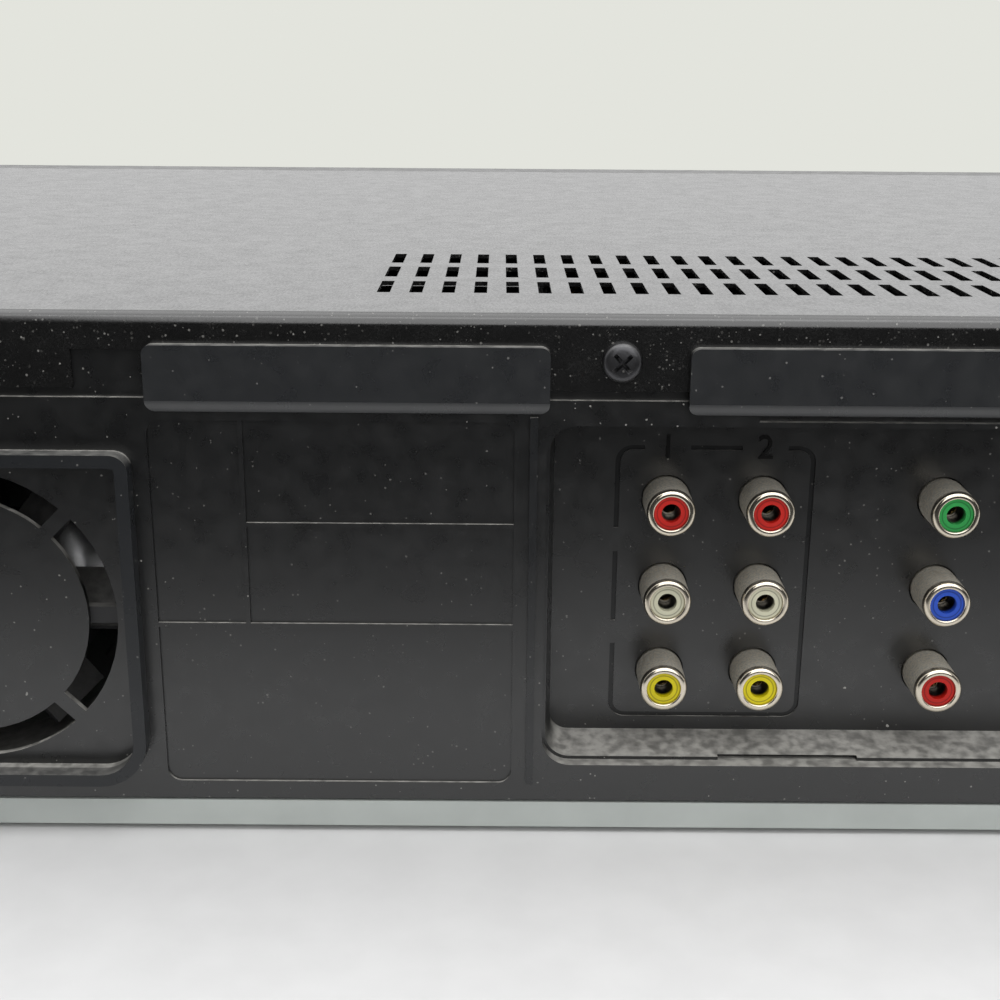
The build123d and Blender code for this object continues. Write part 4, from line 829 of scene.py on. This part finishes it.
    def build(self) -> None:
        """Dress the sheets and build the screws."""
        paint = COVER_PAINT.build()
        mottle = paint.noise(self.mottle, 1.0, self.mottle_stretch)
        paint.roughen(paint.span(mottle, 0.3, 0.7, *self.mottle_range))
        dress("top_cover", paint.material)
        dress("base_pan", PAN_PAINT.build().material)
        dress("feet", RUBBER.build().material)
        self.screws()


@dataclass
class RearSockets:
    """Rear panel with its sockets.

    Attributes:
        columns: x of the two line columns and of the component column.
        rows: height of each socket row.
        front: x of the front sockets.
        front_z: height of the front sockets.
        rim: depth behind the tip where a sleeve's bright rim ends, and where its barrel is dull.
        stain: size of the stains on a barrel.
        stain_color: colour of a stain.
        barrel_rough: least roughness of a barrel.
        contact: radius and depth of each point of a sprung contact.
        contact_rear: y of a rear contact's foot.
        contact_front: y of a front contact's foot.
        cut_depth: depth below the recess floor over which an engraved line loses shine, as painted shade.
        cut_shade_share: share of the shine that an engraved line loses, as painted shade.
        bracket_low: height over which the recess floor has its engraved line.
        bevel: lower and upper edge of the bevel under the tongues, whose shine is painted to fade towards
            both edges as shade.
        tongue_pale_color: colour that makes the tongues paler.
        tongue_pale: how far it does so.
        dark_rear: y under which the bore of a rear insert is painted black as shade.
        dark_front: y over which the bore of a front insert is painted black as shade.
        dark_fade: depth over which a bore's painted shade sets in.
        bore_shade_color: colour of the painted shade in the bore.
        groove: inner and outer radius of the painted shade line that stands for a groove round an insert.
        groove_shade: brightness of the painted groove shade as a share of the insert's colour.
        groove_shade_strength: how far the painted groove shade darkens the insert.
        numeral_size: height of a numeral's line.
        numeral_proud: how far a numeral stands out to each side of its middle.
        numeral_z: height of the numerals.
    """

    columns: tuple[float, ...] = (-9.45 * MM, -26.45 * MM, -58.0 * MM)
    rows: tuple[float, ...] = (59.6 * MM, 43.35 * MM, 27.1 * MM)
    front: tuple[float, ...] = (172.0 * MM, 186.0 * MM, 200.0 * MM)
    front_z: float = 30.0 * MM
    rim: tuple[float, float] = (1.0 * MM, 1.7 * MM)
    stain: float = 0.45 * MM
    stain_color: Rgb = (0.36, 0.35, 0.31)
    barrel_rough: float = 0.5
    contact: tuple[tuple[float, float], ...] = ((0.9 * MM, 0.0), (0.9 * MM, 6.6 * MM), (1.3 * MM, 7.6 * MM),
                                                (1.6 * MM, 7.6 * MM), (1.6 * MM, 0.0))
    contact_rear: float = FLOOR_Y - 3.5 * MM
    contact_front: float = FACE + 12.5 * MM
    cut_depth: tuple[float, float] = (0.2 * MM, 0.08 * MM)
    cut_shade_share: float = 0.5
    bracket_low: float = 17.6 * MM
    bevel: tuple[float, float] = (77.7 * MM, 79.7 * MM)
    tongue_pale_color: Rgb = (0.022, 0.024, 0.027)
    tongue_pale: float = 0.6
    dark_rear: float = TIP_Y - 1.3 * MM
    dark_front: float = FACE + 1.8 * MM
    dark_fade: float = 0.8 * MM
    bore_shade_color: Rgb = (0.006, 0.006, 0.006)
    groove: tuple[float, float] = (2.3 * MM, 2.52 * MM)
    groove_shade: float = 0.15
    groove_shade_strength: float = 0.55
    numeral_size: float = 6.0 * MM
    numeral_proud: float = 0.2 * MM
    numeral_z: float = 68.9 * MM

    def sleeves(self) -> None:
        """Dress the sleeves: bright rims on barrels that have gone dull and dusty."""
        graph = NICKEL.build()
        out = graph.math("ABSOLUTE", graph.axis(1), 0.0)
        bright, dull = self.rim
        barrel = graph.span(out, TIP_Y - bright, TIP_Y - dull)
        stain = graph.span(graph.noise(self.stain, 5.0), 0.35, 0.62, 0.15, 0.95)
        dusty = graph.math("MULTIPLY", barrel, stain)
        graph.repaint(dusty, self.stain_color)
        graph.links.new(graph.math("SUBTRACT", 1.0, dusty), graph.shader.inputs["Metallic"])
        rough = graph.math("MAXIMUM", graph.rough, graph.math("MULTIPLY", barrel, self.barrel_rough))
        graph.links.new(rough, graph.shader.inputs["Roughness"])
        dress("phono_sleeves", graph.material)
        dress("aerial_terminals", NICKEL.build().material)

    def contacts(self) -> None:
        """Build the sprung contact inside each socket."""
        build = bmesh.new()
        for x in self.columns:
            for z in self.rows:
                lathe(build, self.contact, behind(x, self.contact_rear, z), 20)
        for x in self.front:
            lathe(build, self.contact, ahead(x, self.contact_front, self.front_z), 20)
        contacts = piece("phono_contacts", build, "case", NICKEL.build().material)

    def inserts(self) -> None:
        """Dress the coloured inserts, each with a painted shade line standing for a fine groove near its
        rim, and a bore painted black as shade.
        """
        near, far, parts = self.columns
        top, middle, low = self.rows
        yellow, white, red = ((x, self.front_z) for x in self.front)
        inserts = (("red_inserts", RED, [(near, top), (far, top), (parts, low), red]),
                   ("white_inserts", WHITE, [(near, middle), (far, middle), white]),
                   ("yellow_inserts", YELLOW, [(near, low), (far, low), yellow]),
                   ("green_insert", GREEN, [(parts, top)]), ("blue_insert", BLUE, [(parts, middle)]))
        for node, finish, centres in inserts:
            graph = finish.build()
            # painted shade: a dark ring stands for the shade in a fine groove near each insert's rim
            groove = graph.ring(centres, *self.groove)
            shaded = tuple(self.groove_shade * c for c in finish.color)
            graph.repaint(graph.math("MULTIPLY", groove, self.groove_shade_strength), shaded)
            # painted shade: each bore is painted black past a little depth, where shade falls
            deep_rear = graph.span(graph.axis(1), self.dark_rear, self.dark_rear - self.dark_fade)
            deep_front = graph.span(graph.axis(1), self.dark_front, self.dark_front + self.dark_fade)
            graph.repaint(graph.math("MULTIPLY", deep_rear, deep_front), self.bore_shade_color)
            dress(node, graph.material)

    def panel(self) -> bpy.types.Material:
        """Panel plastic with engraved lines whose shine is cut as painted shade, tongues painted paler and a
        bevel whose shine is painted to fade towards its creases.

        Returns:
            The material.
        """
        graph = PANEL_PLASTIC.build()
        out, up = graph.axis(1), graph.axis(2)
        deep, shallow = (FLOOR_Y - depth for depth in self.cut_depth)
        # painted shade: the engraved line on the recess floor loses shine so that it reads dark
        in_groove = graph.math("MULTIPLY", graph.span(out, deep, shallow, 1.0, 0.0),
                               graph.span(up, self.bracket_low, self.bracket_low + 0.1 * MM))
        graph.dull(graph.math("SUBTRACT", 1.0, graph.math("MULTIPLY", in_groove, self.cut_shade_share)))
        proud = graph.span(out, REAR + 0.5 * MM, REAR + 0.7 * MM)
        # painted shade: the bevel's shine fades towards its upper and lower creases
        low, high = self.bevel
        fade = graph.math("MINIMUM", graph.span(up, high + 0.1 * MM, high - 0.8 * MM, 0.35, 1.0),
                          graph.span(up, low, low + 0.7 * MM, 0.45, 1.0))
        on_bevel = graph.math("MULTIPLY", proud, graph.math("LESS_THAN", up, high + 0.05 * MM))
        lost = graph.math("MULTIPLY", on_bevel, graph.math("SUBTRACT", 1.0, fade))
        graph.dull(graph.math("SUBTRACT", 1.0, lost))
        # the tongues are painted paler than the rest of the panel
        graph.repaint(graph.math("MULTIPLY", proud, self.tongue_pale), self.tongue_pale_color)
        return graph.material

    def numerals(self) -> None:
        """Mould a plain numeral over each line column."""
        plastic = NUMERAL.build().material
        for text, x in zip(("1", "2"), self.columns):
            data = bpy.data.curves.new(f"column_numeral_{text}", "FONT")
            data.body = text
            data.size = self.numeral_size
            data.extrude = self.numeral_proud
            data.align_x = "CENTER"
            data.align_y = "CENTER"
            numeral = bpy.data.objects.new(f"column_numeral_{text}", data)
            bpy.context.scene.collection.objects.link(numeral)
            numeral.matrix_world = behind(x, FLOOR_Y + 0.5 * self.numeral_proud, self.numeral_z)
            data.materials.append(plastic)
            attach(numeral, "case")

    def build(self) -> None:
        """Dress and detail the rear."""
        dress("rear_panel", self.panel())
        self.sleeves()
        self.inserts()
        for node in ("jack_bodies", "s_video_socket", "cord_gland", "fan_frame", "fan_rotor"):
            dress(node, MOULDING.build().material)
        dress("tuner_can", TIN.build().material)
        self.contacts()
        self.numerals()


@dataclass
class Front:
    """Fascia, window, flap, tray front and keys.

    Attributes:
        keys: centre of each key in millimetres and its symbol.
        print_depth: y in front of which a key's face is printed.
        print_edge: depth over which the print sets in.
    """

    keys: dict[str, tuple[float, float, str]] = field(default_factory=lambda: {
        "dvd_play_button": (-158.0, 33.0, "play"), "tray_open_button": (-36.0, 70.0, "eject"),
        "cassette_eject_button": (-12.0, 70.0, "eject"), "rewind_button": (32.0, 33.0, "rewind"),
        "vcr_play_button": (57.0, 33.0, "play"), "forward_button": (82.0, 33.0, "forward"),
        "stop_button": (107.0, 33.0, "stop"), "record_button": (132.0, 33.0, "record"),
        "power_button": (-196.0, 33.0, "power")})
    print_depth: float = FACE - 0.9 * MM
    print_edge: float = 0.05 * MM

    def outlines(self, symbol: str) -> list[list[tuple[float, float]]]:
        """Convex outlines of one transport symbol.

        Args:
            symbol: its plain name.

        Returns:
            Outlines in millimetres about the centre of the key.
        """
        right = [(-1.5, -1.8), (1.5, 0.0), (-1.5, 1.8)]
        left = [(1.5, 1.8), (-1.5, 0.0), (1.5, -1.8)]
        turns = [math.tau * k / SYMBOL_CORNERS for k in range(SYMBOL_CORNERS)]
        disc = [(1.7 * math.cos(turn), 1.7 * math.sin(turn)) for turn in turns]
        shapes = {
            "play": [right],
            "rewind": [[(u - 1.6, v) for u, v in left], [(u + 1.6, v) for u, v in left]],
            "forward": [[(u - 1.6, v) for u, v in right], [(u + 1.6, v) for u, v in right]],
            "stop": [[(-1.6, -1.6), (1.6, -1.6), (1.6, 1.6), (-1.6, 1.6)]],
            "record": [disc],
            "eject": [[(-1.9, -0.4), (1.9, -0.4), (0.0, 1.8)],
                      [(-1.9, -1.8), (1.9, -1.8), (1.9, -1.0), (-1.9, -1.0)]],
            "power": [[(-0.35, -2.2), (0.35, -2.2), (0.35, 2.2), (-0.35, 2.2)]],
        }
        return shapes[symbol]

    def print_keys(self) -> None:
        """Print the plain transport symbols on the keys."""
        for node, (x, z, symbol) in self.keys.items():
            graph = replace(KEY, name=node.replace("button", "key_plastic")).build()
            face = graph.span(graph.axis(1), self.print_depth, self.print_depth - self.print_edge)
            for outline in self.outlines(symbol):
                covers = graph.inside([((x + u) * MM, (z + v) * MM) for u, v in outline])
                graph.repaint(graph.math("MULTIPLY", face, covers), PRINT_WHITE)
            dress(node, graph.material)

    def build(self) -> None:
        """Dress and detail the front."""
        for node, finish in (("front_fascia", FASCIA), ("tray_front", FASCIA), ("cassette_flap", FASCIA),
                             ("display_window", SMOKED), ("display_tube", TUBE_GLASS),
                             ("switch_board", LAMINATE), ("channel_rocker", KEY)):
            dress(node, finish.build().material)
        self.print_keys()


@dataclass
class Inside:
    """Boards, disc loader and tape deck.

    Attributes:
        chips_above: height over which the main board's faces belong to its chips.
        chip_color: colour of the chips.
        run_color: colour of the mask over the copper runs.
        run_width: size of the cells that make the runs.
        run_stretch: scale of those cells on each axis.
    """

    chips_above: float = 9.75 * MM
    chip_color: Rgb = (0.012, 0.012, 0.013)
    run_color: Rgb = (0.03, 0.22, 0.09)
    run_width: float = 2.2 * MM
    run_stretch: Point = (1.0, 0.08, 1.0)

    def boards(self) -> None:
        """Dress the boards: green mask with copper runs, and black chips standing on it."""
        graph = MASK_GREEN.build()
        runs = graph.span(graph.noise(self.run_width, 0.0, self.run_stretch), 0.52, 0.55)
        graph.repaint(runs, self.run_color)
        chips = graph.span(graph.axis(2), self.chips_above - 0.05 * MM, self.chips_above)
        graph.repaint(chips, self.chip_color)
        dress("main_board", graph.material)
        for node, finish in (("power_board", LAMINATE), ("transformer", FERRITE), ("capacitors", SLEEVE),
                             ("heat_sink", ALUMINIUM)):
            dress(node, finish.build().material)

    def build(self) -> None:
        """Dress everything inside the case."""
        self.boards()
        groups = {
            MOULDING: ("loader_frame", "clamp_puck", "turntable", "supply_reel", "takeup_reel"),
            TRAY: ("disc_tray",),
            ACETAL: ("tray_pinion", "carrier_slider"),
            STEEL: ("clamp_bridge", "traverse_plate", "guide_rods", "lead_screw", "spindle_motor",
                    "deck_chassis", "cassette_carrier", "head_stack", "capstan"),
            CAST: ("pickup_sled",),
            TURNED: ("drum_base", "head_drum"),
            RUBBER: ("pinch_roller",),
        }
        for finish, nodes in groups.items():
            material = finish.build().material
            for node in nodes:
                dress(node, material)


def main() -> None:
    """Build the studio and dress the player."""
    logging.basicConfig(level=logging.INFO, format="%(name)s: %(message)s")
    for part in (Studio(), Shell(), RearSockets(), Front(), Inside()):
        part.build()


if __name__ == "__main__":
    main()
